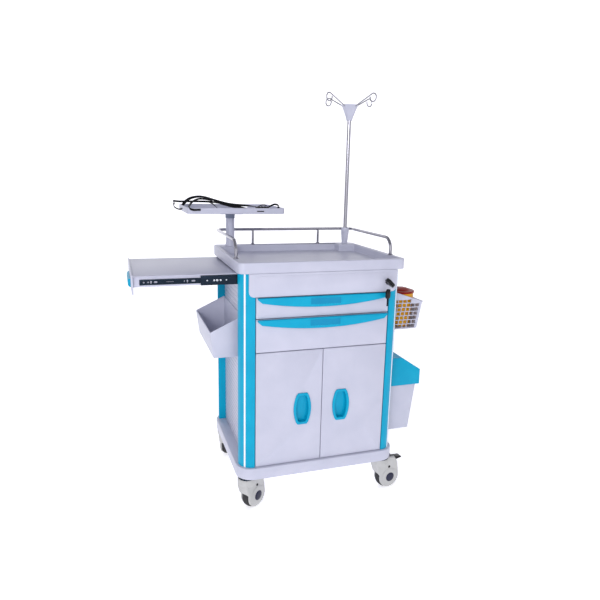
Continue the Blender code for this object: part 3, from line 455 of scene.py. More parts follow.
# %% Drawer and door pulls
LABEL_HALF, LABEL_HEIGHT, LABEL_BELOW_TOP, FRAME_WIDTH, INSERT_MARGIN = 0.0590, 0.0260, 0.0045, 0.0022, 0.0018
cabinet_x = (tray_low.x + tray_high.x) / 2
for number in (1, 2):
    body, node = f"drawer_{number}", f"drawer_{number}_handle"
    softened(node, 0.0030, 3, angle=40, pick=lambda e: middle(e).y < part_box(node)[0].y + 0.001)
    low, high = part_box(node)
    left, right = cabinet_x - LABEL_HALF, cabinet_x + LABEL_HALF
    top = high.z - LABEL_BELOW_TOP
    foot = top - LABEL_HEIGHT
    holder = box((left, low.y - 0.0009, foot), (right, low.y + 0.0020, top), 0.0006, 2)
    window = box((left + FRAME_WIDTH, low.y - 0.0200, foot + FRAME_WIDTH),
                 (right - FRAME_WIDTH, low.y + 0.0002, top - FRAME_WIDTH))
    piece(f"label_frame_{number}", carved(holder, window), body, "teal_abs", teal_abs)
    insert = box((left + INSERT_MARGIN, low.y - 0.0004, foot + INSERT_MARGIN),
                 (right - INSERT_MARGIN, low.y + 0.0012, top - INSERT_MARGIN))
    piece(f"label_insert_{number}", insert, body, "teal_abs", label_abs)
for word in ("left", "right"):
    node = f"door_{word}_pull"
    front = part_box(node)[0].y
    softened(node, 0.0022, 3, angle=50, pick=lambda e: middle(e).y < front + 0.0005)
print("label holders", round(2 * LABEL_HALF, 3), "by", LABEL_HEIGHT, "m")

# %% [markdown]
# ## Lock and keys
# The cam lock's barrel turns with its key. A second key hangs from the first on a split ring, which is a
# small circle spun round the ring's own middle.

# %% Lock and keys
softened("lock_barrel", 0.0, finish=chrome)
turn_at, hang_at = Vector(joints["lock_turn"]["pos_m"]), Vector(joints["spare_key_swing"]["pos_m"])
KEY_HOLE, LARGEST_BOW, NOTCH_PITCH = 0.0026, 0.0140, 0.0042


def key(name, head_low, head_high, blade, stand):
    """A key along its own Z: a thick moulded head with a hole at its end, and a notched flat blade below it."""
    head = box(head_low, head_high)
    through = [e for e in head.edges if abs(e.verts[0].co.y - e.verts[1].co.y) > 0.002]
    round_edges(head, through, min(head_high[0], LARGEST_BOW) * 0.95, 8)
    round_edges(head, sharp_edges(head, 40), 0.0014, 3)
    hole = moved(bar_of(KEY_HOLE, 20),
                 Matrix.Translation((0, 0, head_high[2] - 0.0062)) @ Matrix.Rotation(pi / 2, 4, "X"))
    piece(name + "_head", moved(carved(head, hole), stand), name, "black_plastic", black_abs, (name,))
    width, tip, thick = blade
    flat = box((-width, -thick, tip), (width, thick, head_low[2] + 0.002), 0.0004, 2)
    for step in range(4):
        z = tip + 0.004 + step * NOTCH_PITCH
        notch = box((width - 0.0016 + 0.0004 * (step % 2), -0.01, z), (width + 0.01, 0.01, z + 0.0022))
        flat = carved(flat, notch)
    piece(name + "_blade", moved(flat, stand), name, "zinc_steel", black_zinc)


# The key in the lock points along Y and is turned 45 degrees. Its head stands clear of the bezel.
into_lock = Matrix.Translation((turn_at.x, 0, turn_at.z)) @ Matrix.Rotation(radians(45), 4, "Y") @ Matrix.Rotation(
    radians(90), 4, "X")
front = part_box("lock_barrel")[0].y
in_lock = Matrix.Translation((0, front - 0.0015, 0)) @ into_lock
key("lock_key", (-0.0195, -0.0062, 0.0008), (0.0195, 0.0062, 0.0300), (0.0036, -0.0016, 0.0010), in_lock)
hanging = Matrix.Translation((hang_at.x, hang_at.y - 0.0030, hang_at.z)) @ Matrix.Rotation(radians(25), 4,
                                                                                           "Z")
key("spare_key", (-0.0105, -0.0042, -0.0330), (0.0105, 0.0042, 0.0030), (0.0042, -0.0600, 0.0012), hanging)


def ring(centre, radius, wire, tilt):
    """A wire ring about a centre, standing in the plane that the tilt turns from X-Z."""
    bm = bmesh.new()
    start = bmesh.ops.create_circle(bm, segments=10, radius=wire, matrix=Matrix.Translation((radius, 0, 0))
                                    @ Matrix.Rotation(pi / 2, 4, "X"))["verts"]
    edges = list({edge for vert in start for edge in vert.link_edges})
    bmesh.ops.spin(bm, geom=start + edges, cent=(0, 0, 0), axis=(0, 0, 1), angle=2 * pi, steps=40,
                   use_merge=True)
    bmesh.ops.remove_doubles(bm, verts=bm.verts, dist=1e-6)
    bmesh.ops.recalc_face_normals(bm, faces=bm.faces)
    return moved(bm, Matrix.Translation(centre) @ tilt @ Matrix.Rotation(pi / 2, 4, "X"))


ring_top, ring_foot = in_lock @ Vector((0.0125, 0, 0.0208)), hang_at + Vector((0, 0, -0.0030))
span = ring_top - ring_foot
ring_radius = span.length / 2 + 0.0010
ring_tilt = Matrix.Rotation(-atan2(span.y, span.z), 4, "X") @ Matrix.Rotation(radians(70), 4, "Z")
key_ring = ring((ring_top + ring_foot) / 2, ring_radius, 0.0008, ring_tilt)
piece("key_ring", key_ring, "cart_body", "chrome", bright_zinc)
print("key ring", round(2 * ring_radius, 4), "m across")

# %% [markdown]
# ## Guard rail
# The rail is one tube bent on a former, welded to two short posts, with a small flange under each foot. A
# curve with a round bevel is the natural way to draw bent tube: its path is straight runs through corners,
# each corner rounded to its own radius.

# %% Bent tube
def rounded_path(corners, radii, steps=8):
    points = [Vector(corners[0])]
    for before, corner, after, radius in zip(corners, corners[1:], corners[2:], radii):
        corner = Vector(corner)
        back, ahead = (Vector(before) - corner).normalized(), (Vector(after) - corner).normalized()
        half = back.angle(ahead) / 2
        centre = corner + (back + ahead).normalized() * radius / sin(half)
        spoke = corner + back * radius * cos(half) / sin(half) - centre
        turn = (-back).cross(ahead).normalized()
        points += [centre + Matrix.Rotation((pi - 2 * half) * i / steps, 3, turn) @ spoke
                   for i in range(steps + 1)]
    return points + [Vector(corners[-1])]


def tube(points, radius, resolution=3):
    """A round bar along a path, as a closed bmesh."""
    curve = bpy.data.curves.new("bar", "CURVE")
    curve.dimensions, curve.bevel_depth, curve.bevel_resolution, curve.use_fill_caps = "3D", radius, resolution, True
    spline = curve.splines.new("POLY")
    spline.points.add(len(points) - 1)
    for point, where in zip(spline.points, points):
        point.co = (*where, 1.0)
    bar = placed("bar", curve)
    bm = evaluated(bar)
    bpy.data.objects.remove(bar)
    bmesh.ops.remove_doubles(bm, verts=bm.verts, dist=1e-6)
    bmesh.ops.recalc_face_normals(bm, faces=bm.faces)
    return bm


def flange(x, y, z, radius, height):
    """A small turned foot with a rounded shoulder."""
    outline = [(0, 0), (radius, 0), (radius, height * 0.5), (radius * 0.8, height), (0, height)]
    return moved(turned(outline, 24), Matrix.Translation((x, y, z)))


# %% Rail
RAIL, RAIL_BEND, RAIL_CORNER, POST_AT = 0.0060, 0.045, 0.035, 0.146
low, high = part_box("guard_rail")
left, right, foot_y, back_y = low.x + RAIL, high.x - RAIL, low.y + RAIL, high.y - RAIL
rail_z = high.z - RAIL
route = rounded_path([(left, foot_y, low.z), (left, foot_y, rail_z), (left, back_y, rail_z),
                      (right, back_y, rail_z), (right, foot_y, rail_z), (right, foot_y, low.z)],
                     (RAIL_BEND, RAIL_CORNER, RAIL_CORNER, RAIL_BEND))
bars = [tube(route, RAIL)]
for side in (-1, 1):
    x = cabinet_x + side * POST_AT
    bars.append(tube([(x, back_y, low.z), (x, back_y, rail_z)], RAIL * 0.8))
    bars.append(flange(x, back_y, low.z, 0.0085, 0.0035))
    bars.append(flange(left if side < 0 else right, foot_y, low.z, 0.0095, 0.0040))
piece("guard_rail_tube", merged(*bars), "cart_body", "chrome", stainless, ("guard_rail",))
print("rail bent from", round(sum((b - a).length for a, b in zip(route, route[1:])), 3), "m of tube")

# %% [markdown]
# ## Drip pole
# A stainless tube slides in a white socket and carries a funnel-shaped head with four wire hooks. Each
# hook's arm rises outwards and curls over into an eye, so a bag's loop can't slip off when the cart is
# moved.

# %% Pole, socket, head and hooks
POLE = 0.0080
softened("pole_socket", 0.0)
low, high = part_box("drip_pole")
pole = (low + high) / 2
pole_stand = Matrix.Translation((pole.x, pole.y, 0))
pole_bm = bar_of(POLE, 32, low.z, high.z)
piece("pole_tube", moved(pole_bm, pole_stand), "drip_pole", "chrome", stainless, ("drip_pole",))

head_low, head_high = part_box("pole_head")
rim, foot = head_high.z, head_low.z
head_bm = turned([(0.0083, foot), (0.0118, foot), (0.0128, foot + 0.002), (0.0140, foot + 0.010),
                  (0.0290, foot + 0.048), (0.0345, rim - 0.004), (0.0360, rim - 0.0015), (0.0355, rim),
                  (0.0330, rim), (0.0300, rim - 0.005), (0.0180, rim - 0.012), (0, rim - 0.013)], 48)
piece("pole_head_funnel", moved(head_bm, pole_stand), "drip_pole", "white_abs", white_abs, ("pole_head",))

HOOK_WIRE, HOOK_EYE, HOOK_RISE, EYE_REACH, HOOK_ROOT = 0.0025, 0.0160, radians(25.5), 0.125, 0.004
eye_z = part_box("pole_hooks")[1].z - HOOK_EYE - HOOK_WIRE
wires = [flange(pole.x, pole.y, rim - 0.0150, 0.0140, 0.0060)]
for bearing in (25, 115, 205, 295):
    out = Vector((cos(radians(bearing)), sin(radians(bearing)), 0))
    eye_top = pi / 2 + HOOK_RISE
    angles = [eye_top - radians(300) * i / 28 for i in range(29)]
    curl = [(EYE_REACH + HOOK_EYE * cos(a), eye_z + HOOK_EYE * sin(a)) for a in angles]
    root = (HOOK_ROOT, curl[0][1] - (curl[0][0] - HOOK_ROOT) * tan(HOOK_RISE))
    wires.append(tube([Vector((pole.x, pole.y, h)) + out * r for r, h in [root] + curl], HOOK_WIRE))
    tip = Vector((pole.x, pole.y, curl[-1][1])) + out * curl[-1][0]
    ball = bmesh.new()
    bmesh.ops.create_uvsphere(ball, u_segments=12, v_segments=8, radius=HOOK_WIRE * 1.25,
                              matrix=Matrix.Translation(tip))
    wires.append(ball)
piece("hook_wires", merged(*wires), "drip_pole", "chrome", stainless, ("pole_hooks",))
print("hooks reach", EYE_REACH, "m from the pole, at", round(eye_z, 3), "m above the floor")

# %% [markdown]
# ## Defibrillator platform
# The platform is a shallow tray on a post, free to swivel. Its strap is flat black webbing that has been
# left lying loosely over the tray. A ribbon curve draws each length: it is extruded to the webbing's width,
# tilted point by point so that it twists as real webbing does, and given its thickness afterwards.

# %% Post, bracket and tray
softened("platform_post", 0.0)
softened("platform_swivel", 0.0012, 2, angle=50, shortest=0.01)
tray_a, tray_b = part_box("platform_tray")
softened("platform_tray", 0.0022, 3, shortest=0.006, pick=lambda e: abs(middle(e).z - tray_a.z) < 0.001
         or abs(middle(e).z - tray_b.z) < 0.001)
print("platform", [round(v, 3) for v in tray_b - tray_a])


# %% Webbing
def webbing_band(points, width, thickness):
    """A band of webbing through (x, y, z, tilt in degrees) points, smoothed, as a closed bmesh."""
    curve = bpy.data.curves.new("band", "CURVE")
    curve.dimensions, curve.extrude, curve.resolution_u, curve.twist_mode = "3D", width / 2, 5, "Z_UP"
    spline = curve.splines.new("NURBS")
    spline.points.add(len(points) - 1)
    for point, (x, y, z, tilt) in zip(spline.points, points):
        point.co, point.tilt = (x, y, z, 1.0), radians(tilt)
    spline.order_u, spline.use_endpoint_u = 3, True
    band = placed("band", curve)
    bm = evaluated(band)
    bpy.data.objects.remove(band)
    bmesh.ops.remove_doubles(bm, verts=bm.verts, dist=1e-6)
    bmesh.ops.solidify(bm, geom=bm.faces[:], thickness=thickness)
    bmesh.ops.recalc_face_normals(bm, faces=bm.faces)
    return bm


# The strap's points are measured from the middle of the cabinet at floor level.
CABINET = Vector((cabinet_x, (tray_low.y + tray_high.y) / 2, 0))


def from_cabinet(points):
    return [(CABINET.x + x, CABINET.y + y, z, tilt) for x, y, z, tilt in points]


BAND, SLIM, THICK = 0.0150, 0.0075, 0.0016
arch = [(-0.438, 0.285, 1.0900, 70), (-0.434, 0.285, 1.1000, 60), (-0.422, 0.280, 1.1190, 56),
        (-0.403, 0.270, 1.1345, 56), (-0.378, 0.260, 1.1415, 58), (-0.355, 0.250, 1.1422, 60),
        (-0.333, 0.240, 1.1370, 58), (-0.302, 0.225, 1.1268, 54), (-0.264, 0.210, 1.1162, 50),
        (-0.234, 0.190, 1.1122, 48), (-0.206, 0.160, 1.1128, 58), (-0.184, 0.140, 1.1125, 70),
        (-0.164, 0.122, 1.1100, 85)]
doubled = [(-0.310, 0.222, 1.1255, 55), (-0.272, 0.207, 1.1130, 50), (-0.240, 0.190, 1.1060, 45),
           (-0.214, 0.172, 1.1030, 48), (-0.190, 0.160, 1.0990, 62), (-0.172, 0.150, 1.0930, 85)]
straight = [(-0.466, 0.305, 1.1222, 5), (-0.454, 0.301, 1.1188, 8), (-0.403, 0.299, 1.1192, 8),
            (-0.352, 0.295, 1.1200, 8), (-0.309, 0.285, 1.1192, 15), (-0.287, 0.268, 1.1166, 25),
            (-0.258, 0.232, 1.1105, 40), (-0.232, 0.200, 1.1080, 60)]
left_loop = [(-0.465, 0.303, 1.1228, 10), (-0.459, 0.300, 1.1160, 10), (-0.4675, 0.290, 1.1050, 15),
             (-0.4610, 0.272, 1.0950, 30), (-0.4460, 0.245, 1.0900, 50), (-0.4430, 0.215, 1.0960, 60),
             (-0.4340, 0.200, 1.0980, 80), (-0.418, 0.195, 1.0910, 88), (-0.400, 0.195, 1.0905, 90)]
fallen = [(-0.310, 0.272, 1.1260, 3), (-0.355, 0.276, 1.1338, 3), (-0.378, 0.270, 1.1280, 20),
          (-0.398, 0.232, 1.1215, 30), (-0.416, 0.160, 1.1140, 40), (-0.428, 0.100, 1.1105, 40),
          (-0.4320, 0.062, 1.1090, 40), (-0.4300, 0.0505, 1.1045, 10), (-0.4180, 0.0505, 1.1000, 4),
          (-0.4050, 0.0510, 1.1005, 2), (-0.3910, 0.0515, 1.1010, 2)]
short_fall = [(-0.322, 0.290, 1.1192, 10), (-0.313, 0.272, 1.1160, 20), (-0.303, 0.240, 1.1040, 40),
              (-0.295, 0.214, 1.0945, 75)]
curled_end = [(-0.158, 0.113, 1.1080, 80), (-0.144, 0.110, 1.1045, 70), (-0.120, 0.110, 1.1060, 45),
              (-0.103, 0.110, 1.1150, 30), (-0.090, 0.108, 1.1208, 30), (-0.077, 0.105, 1.1180, 40),
              (-0.072, 0.102, 1.1105, 50), (-0.080, 0.100, 1.1030, 60)]
bands = [webbing_band(from_cabinet(points), width, THICK) for points, width in (
    (arch, BAND), (doubled, BAND), (straight, SLIM), (left_loop, SLIM), (fallen, SLIM), (short_fall, SLIM))]
piece("strap_long_webbing", merged(*bands), "platform", "webbing", webbing, ("strap_long",))
curled = webbing_band(from_cabinet(curled_end), SLIM, THICK)
piece("strap_short_webbing", curled, "platform", "webbing", webbing, ("strap_short",))
# The webbing passes out through the slot in the tray's front wall and back under it.
SLOT_LEFT, SLOT_RIGHT, SLOT_LOW, SLOT_HIGH = 0.2660, 0.2935, 1.0930, 1.0970
tucked = box((tray_a.x + SLOT_LEFT, tray_a.y - 0.0006, SLOT_LOW),
             (tray_a.x + SLOT_RIGHT, tray_a.y + 0.0030, SLOT_HIGH), 0.0006, 2)
piece("strap_in_slot", tucked, "platform", "webbing", webbing)
print(len(bands) + 1, "lengths of webbing,", BAND, "and", SLIM, "m wide")

# %% [markdown]
# ## Buckle
# The webbing is threaded through a moulded ladder buckle. Its plate is a rounded copy of the solid, three
# bars stand on it, and a short folded band of webbing lies over them.

# %% Buckle
low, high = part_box("strap_buckle")
buckle = copied("strap_buckle")
round_edges(buckle, sharp_edges(buckle, 50, 0.004), 0.0008, 2)
FIRST_BAR, BAR_PITCH, BAR_WIDTH = 0.010, 0.012, 0.004
bars = []
for i in range(3):
    x = low.x + FIRST_BAR + BAR_PITCH * i
    bars.append(box((x, low.y - 0.001, high.z - 0.0015), (x + BAR_WIDTH, high.y + 0.001, high.z + 0.0030),
                    0.0010, 2))
piece("buckle_bars", merged(*bars), "platform", "grey_plastic", black_abs)
piece("strap_buckle_moulded", buckle, "platform", "grey_plastic", black_abs, ("strap_buckle",))
folded = [(-0.1560, 0.1260, 1.1090, 90), (-0.1480, 0.1230, 1.1135, 80), (-0.1360, 0.1190, 1.1175, 70),
          (-0.1240, 0.1160, 1.1165, 70), (-0.1180, 0.1130, 1.1120, 80)]
piece("strap_fold", webbing_band(from_cabinet(folded), BAND * 0.7, THICK), "platform", "webbing", webbing)
print(len(bars), "bars on the buckle")

# %% [markdown]
# ## Writing shelf and slides
# The shelf is a folded panel with a thin lip. It runs on telescopic slides whose inner members are punched
# with slots, through which the shelf's white side shows.

# %% Shelf
softened("shelf_board", 0.0009, 2, shortest=0.01)
softened("shelf_end_panel", 0.0)
low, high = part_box("shelf_pull")
pull = box(low, high)
round_edges(pull, [e for e in pull.edges if middle(e).x < low.x + 0.001], 0.0090, 5)
piece("shelf_pull_moulded", pull, "writing_shelf", "teal_abs", teal_abs, ("shelf_pull",))
print("pull", [round(v, 4) for v in high - low])


# %% Slides
def slot_tool(x, z, length, height, y_low, y_high):
    """A round-ended slot's cutter, lying or standing, pushed along Y."""
    radius, half = min(length, height) / 2, max(abs(length - height) / 2, 0.0002)
    if length >= height:
        outline = arc((x + half, z), radius, -90, 90, 6) + arc((x - half, z), radius, 90, 270, 6)
    else:
        outline = arc((x, z + half), radius, 0, 180, 6) + arc((x, z - half), radius, 180, 360, 6)
    return prism(outline, y_low, y_high)


# Each slot is (place along the slide, length, height), and each stud is (place along the slide, radius).
SLOTS = ((0.014, 0.006, 0.006), (0.028, 0.006, 0.006), (0.037, 0.005, 0.010), (0.052, 0.012, 0.006),
         (0.098, 0.026, 0.002), (0.146, 0.004, 0.006), (0.156, 0.005, 0.010), (0.176, 0.013, 0.006))
STUDS = ((0.022, 0.0026), (0.046, 0.0034), (0.056, 0.0040), (0.068, 0.0034), (0.088, 0.0026))
for word, side in (("front", -1), ("back", 1)):
    low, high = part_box(f"slide_inner_{word}")
    web = box(low, high, 0.0009, 2)
    height = (low.z + high.z) / 2
    for x, length, tall in SLOTS:
        web = carved(web, slot_tool(low.x + x, height, length, tall, low.y - 0.01, high.y + 0.01))
    outer = low.y if side < 0 else high.y
    lips = [box((low.x + 0.001, outer - 0.0007, z - 0.0012), (high.x - 0.001, outer + 0.0007, z + 0.0012),
                0.0005, 2) for z in (low.z + 0.0020, high.z - 0.0020)]
    piece(f"slide_inner_{word}_punched", merged(web, *lips), "writing_shelf", "zinc_steel", black_zinc,
          (f"slide_inner_{word}",))
    middle_low, middle_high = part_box(f"slide_middle_{word}")
    softened(f"slide_middle_{word}", 0.0004, 2, shortest=0.01)
    face = middle_low.y if side < 0 else middle_high.y
    studs = []
    for x, radius in STUDS:
        stud = turned([(0, -0.0004), (radius, -0.0004), (radius, 0.0003), (radius * 0.7, 0.0008),
                       (0, 0.0009)], 16)
        tip = Matrix.Rotation(pi / 2 * (1 if side < 0 else -1), 4, "X")
        studs.append(moved(stud, Matrix.Translation((middle_low.x + x, face, height)) @ tip))
    piece(f"slide_studs_{word}", merged(*studs), "slide_middle", "zinc_steel", bright_zinc)
    softened(f"slide_outer_{word}", 0.0004, 2, shortest=0.01)
print(len(SLOTS), "slots and", len(STUDS), "studs on each slide")

# %% [markdown]
# ## Bins
# The open bin and the waste bin are thin-walled mouldings with a rolled rim. The basket's end walls are
# punched with rows of square holes. Each starts as a grid of cells, every cell but the border is inset, and
# its inner face is deleted, which leaves a sheet full of holes to thicken.

# %% Open bin and its rim
softened("side_bin", 0.0014, 3, shortest=0.004)
softened("waste_bin", 0.0014, 3, shortest=0.004)
softened("waste_lid", 0.0030, 3, angle=25, shortest=0.0065)

low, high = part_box("side_bin")
# The mouth slopes down from the cabinet to the bin's outer lip. The rim is a round bead along its open sides.
OUTER_LIP_Z, INNER_LIP_Z, RIM_INSET, RIM_RADIUS = 0.6800, 0.7350, 0.0012, 0.0026
near, far, outer_x, inner_x = low.y + RIM_INSET, high.y - RIM_INSET, low.x + RIM_INSET, high.x - 0.002
rim_route = [(inner_x, near, INNER_LIP_Z), (outer_x, near, OUTER_LIP_Z), (outer_x, far, OUTER_LIP_Z),
             (inner_x, far, INNER_LIP_Z)]
bead = tube(rounded_path(rim_route, (0.006, 0.006), 5), RIM_RADIUS, 2)
piece("side_bin_rim", bead, "cart_body", "white_abs", white_abs)
print("side bin", [round(v, 3) for v in high - low])

# %% Basket
HOLE_PITCH, ROW_PITCH, HOLE_WIDTH, BASKET_WALL = 0.0188, 0.0169, 0.0080, 0.0030
HOLES, LIP_BORDER, FOOT_BORDER, FOOT_REACH, LIP_HEIGHT = 7, 0.0115, 0.0026, 0.1530, 0.1060
low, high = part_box("side_basket")
inside, outside_top, outside_foot, top_at_lip = low.x, high.x, low.x + FOOT_REACH, low.z + LIP_HEIGHT
lean = (outside_top - outside_foot) / (top_at_lip - low.z)
fall = (high.z - top_at_lip) / (outside_top - inside)


def punched(rows, columns, place, solid):
    """A wall as a grid of cells, each with a square hole unless solid(row, column) keeps it whole."""
    bm = bmesh.new()
    bmesh.ops.create_grid(bm, x_segments=len(columns) - 1, y_segments=len(rows) - 1, size=0.5)
    for vert in bm.verts:
        column = round((vert.co.x + 0.5) * (len(columns) - 1))
        row = round((vert.co.y + 0.5) * (len(rows) - 1))
        vert.co = place(columns[column], rows[row])
    bm.faces.ensure_lookup_table()
    cells = [f for i, f in enumerate(bm.faces) if not solid(i // (len(columns) - 1), i % (len(columns) - 1))]
    bmesh.ops.inset_individual(bm, faces=cells, thickness=(ROW_PITCH - HOLE_WIDTH) / 2, use_even_offset=True)
    bmesh.ops.delete(bm, geom=cells, context="FACES")
    bmesh.ops.solidify(bm, geom=bm.faces[:], thickness=BASKET_WALL)
    bmesh.ops.recalc_face_normals(bm, faces=bm.faces)
    return bm


def end_wall(y):
    """A wall across the cart: its columns lean with the outer wall, and its top falls towards the lip."""
    from_lip = [0.0] + [LIP_BORDER + HOLE_PITCH * i for i in range(HOLES + 1)] + [1.0]
    heights = [0.0] + [FOOT_BORDER + ROW_PITCH * i for i in range(HOLES + 1)] + [1.0]

    def place(back, up):
        ceiling = top_at_lip + fall * min(back, outside_top - inside)
        z = min(low.z + up, ceiling - 0.0005 * (up < 1))
        x = max(outside_foot + lean * (min(z, top_at_lip) - low.z) - back, inside)
        return Vector((x, y, z if up < 1 else ceiling))

    def solid(row, column):
        clear = top_at_lip + fall * from_lip[column] - low.z - heights[min(row + 1, HOLES + 1)]
        return row in (0, HOLES + 1) or column in (0, HOLES + 1) or clear < -0.0005

    return punched(heights, from_lip, place, solid)


floor_and_front = [(inside, low.z), (outside_foot, low.z), (outside_top, top_at_lip),
                   (outside_top - BASKET_WALL, top_at_lip),
                   (outside_foot - BASKET_WALL, low.z + BASKET_WALL), (inside, low.z + BASKET_WALL)]
outer = prism(floor_and_front, low.y + 0.0003, high.y - 0.0003)
back = box((inside, low.y, low.z), (inside + 0.0030, high.y, high.z), 0.0010, 2)
lip = rounded_path([(inside + 0.002, low.y + 0.001, high.z - 0.001),
                    (outside_top, low.y + 0.001, top_at_lip), (outside_top, high.y - 0.001, top_at_lip),
                    (inside + 0.002, high.y - 0.001, high.z - 0.001)], (0.008, 0.008), 6)
ledge = box((outside_top - 0.004, low.y + 0.001, top_at_lip - 0.0012),
            (outside_top + 0.0085, high.y - 0.001, top_at_lip + 0.0012), 0.0008, 2)
walls = [end_wall(low.y + BASKET_WALL / 2), end_wall(high.y - BASKET_WALL / 2), outer, back]
basket = merged(*walls, tube(lip, 0.0020, 2), ledge)
print("basket", len(basket.faces), "faces")
piece("basket_perforated", basket, "cart_body", "white_abs", white_abs, ("side_basket",))

# %% [markdown]
# ## Sharps container
# Used needles go into a yellow polypropylene pot with a red press-on lid. Both are round, so a profile spun
# about Z gives the taper, the bead under the lid and the wall's thickness in one step.

# %% Sharps container
low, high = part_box("sharps_box")
centre = (low + high) / 2
# The radius at the foot and under the lid, and the wall.
r0, r1, wall = 0.0452, 0.0535, 0.0018
box_bm = turned([(0, low.z), (r0 - 0.003, low.z), (r0, low.z + 0.003), (r1 - 0.0012, high.z - 0.018),
                 (r1, high.z - 0.016), (r1, high.z - 0.0125), (r1 - 0.0008, high.z - 0.011),
                 (r1 - 0.0002, high.z), (r1 - wall, high.z), (r0 - wall, low.z + 0.004),
                 (0, low.z + 0.0035)], 48)
box_stand = Matrix.Translation((centre.x, centre.y, 0))
piece("sharps_box_turned", moved(box_bm, box_stand), "sharps_box", "yellow_pp", yellow_pp, ("sharps_box",))
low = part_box("sharps_lid")[0]
lid_bm = turned([(0, low.z), (0.0540, low.z), (0.0558, low.z + 0.0008), (0.0560, low.z + 0.0060),
                 (0.0540, low.z + 0.0082), (0.0500, low.z + 0.0090), (0.0480, low.z + 0.0086),
                 (0.0360, low.z + 0.0120), (0.0330, low.z + 0.0150), (0.0300, low.z + 0.0158),
                 (0, low.z + 0.0160)], 48)
tab = box((0.046, -0.009, low.z + 0.0012), (0.0600, 0.009, low.z + 0.0046), 0.0012, 2)
flap = box((-0.0130, -0.0180, low.z + 0.0150), (0.0200, 0.0180, low.z + 0.0176), 0.0012, 2)
lid = moved(merged(lid_bm, tab, flap), box_stand)
piece("sharps_lid_turned", lid, "sharps_lid", "red_pp", red_pp, ("sharps_lid",))
print("sharps container", 2 * r0, "to", 2 * r1, "m across")

# %% [markdown]
# ## Casters
# Each caster is a swivel housing with a round cheek over each side of the wheel. The cheeks are slightly
# domed, with a step round the face, a dark cap on the hub and a small screw above it. The shroud is an
# outline pushed to its thickness with generous rounding, and the wheel's slot is then carved out of it.

# %% Casters
# Radii of the cheek and the hub's bore, half the width of the housing and of the tread, and the wheel's slot.
SHROUD, HUB_BORE, HALF, TREAD_HALF, SLOT_RADIUS, SLOT_HALF = 0.0450, 0.0052, 0.0240, 0.0145, 0.0525, 0.0155
for name in ("front_left", "front_right", "back_left", "back_right"):
    stem = Vector(joints[f"swivel_{name}"]["pos_m"])
    hub_at = Vector(joints[f"roll_{name}"]["pos_m"])
    trail = Vector((hub_at.x - stem.x, hub_at.y - stem.y, 0))
    bearing = atan2(trail.y, trail.x)
    stand = Matrix.Translation((stem.x, stem.y, 0)) @ Matrix.Rotation(bearing, 4, "Z")
    hub = Vector((trail.length, 0, hub_at.z))
    cheek = arc((hub.x, hub.z), SHROUD, 168, 362, 26)
    outline = cheek + [(0.0770, 0.0800), (0.0705, 0.1120), (0.0560, 0.1340), (-0.0290, 0.1340),
                       (-0.0285, 0.1020), (-0.0200, 0.0740)]
    shroud = prism(outline, -HALF, HALF)
    round_edges(shroud, [e for e in shroud.edges if abs(abs(middle(e).y) - HALF) < 1e-4], 0.0058, 5)
    cap = turned([(0, 0.1020), (0.0270, 0.1020), (0.0325, 0.1080), (0.0345, 0.1180), (0.0350, 0.1280),
                  (0.0342, 0.1320), (0.0325, 0.1338), (0, 0.1338)], 40)
    shroud = carved(shroud, cap, "UNION")
    race = bar_of(0.0325, 32, 0.1300, 0.1425)
    slot = moved(bar_of(SLOT_RADIUS, 48, -SLOT_HALF, SLOT_HALF),
                 Matrix.Translation(hub) @ Matrix.Rotation(pi / 2, 4, "X"))
    shroud = carved(shroud, slot)
    if f"brake_{name}" in joints:
        shroud = carved(shroud, box((0.0390, -0.0142, 0.1055), (0.0900, 0.0142, 0.1410)))
    piece(f"shroud_{name}", moved(shroud, stand), f"caster_{name}", "caster_grey", grey_nylon,
          (f"caster_fork_{name}",))
    piece(f"swivel_race_{name}", moved(race, stand), f"caster_{name}", "zinc_steel", black_zinc)

    caps, faces, screws = [], [], []
    for side in (-1, 1):
        outward = Matrix.Translation(hub + Vector((0, side * HALF, 0))) @ Matrix.Rotation(-side * pi / 2, 4,
                                                                                          "X")
        face = turned([(0, -0.002), (0.0375, -0.002), (0.0375, 0.0012), (0.0355, 0.0024), (0.0240, 0.0026),
                       (0, 0.0026)], 40)
        faces.append(moved(face, outward))
        hub_cap = turned([(0, 0.0010), (0.0185, 0.0010), (0.0190, 0.0032), (0.0170, 0.0046), (0.0080, 0.0052),
                          (0, 0.0052)], 32)
        caps.append(moved(hub_cap, outward))
        above = Matrix.Translation((0.0305, side * HALF, 0.0955)) @ Matrix.Rotation(-side * pi / 2, 4, "X")
        screw = turned([(0, -0.001), (0.0050, -0.001), (0.0050, 0.0012), (0.0040, 0.0020), (0, 0.0020)], 20)
        screws.append(moved(screw, above))
    piece(f"cheek_faces_{name}", moved(merged(*faces), stand), f"caster_{name}", "caster_grey", grey_nylon)
    piece(f"hub_caps_{name}", moved(merged(*caps), stand), f"caster_{name}", "black_plastic", navy_abs)
    piece(f"cheek_screws_{name}", moved(merged(*screws), stand), f"caster_{name}", "black_plastic", black_abs)

    # One side of the tyre runs out from the hub to the tread's crown, as (radius, distance in from its side).
    side_of_tyre = [(HUB_BORE, 0.003), (0.0300, 0.003), (0.0330, 0.001), (0.0420, 0.0005), (0.0470, 0.0025),
                    (0.0494, 0.0070)]
    near_side = [(r, inwards - TREAD_HALF) for r, inwards in side_of_tyre]
    far_side = [(r, TREAD_HALF - inwards) for r, inwards in reversed(side_of_tyre)]
    tyre = turned(near_side + [(hub.z, 0)] + far_side + near_side[:1], 56)
    axle = stand @ Matrix.Translation(hub) @ Matrix.Rotation(pi / 2, 4, "X")
    piece(f"tyre_{name}", moved(tyre, axle), f"wheel_{name}", "tyre_rubber", rubber,
          (f"caster_wheel_{name}",))
    if f"brake_{name}" in joints:
        softened(f"brake_pedal_{name}", 0.0)
print("wheels", round(2 * hub.z, 3), "m across, with a tread", 2 * TREAD_HALF, "m wide")

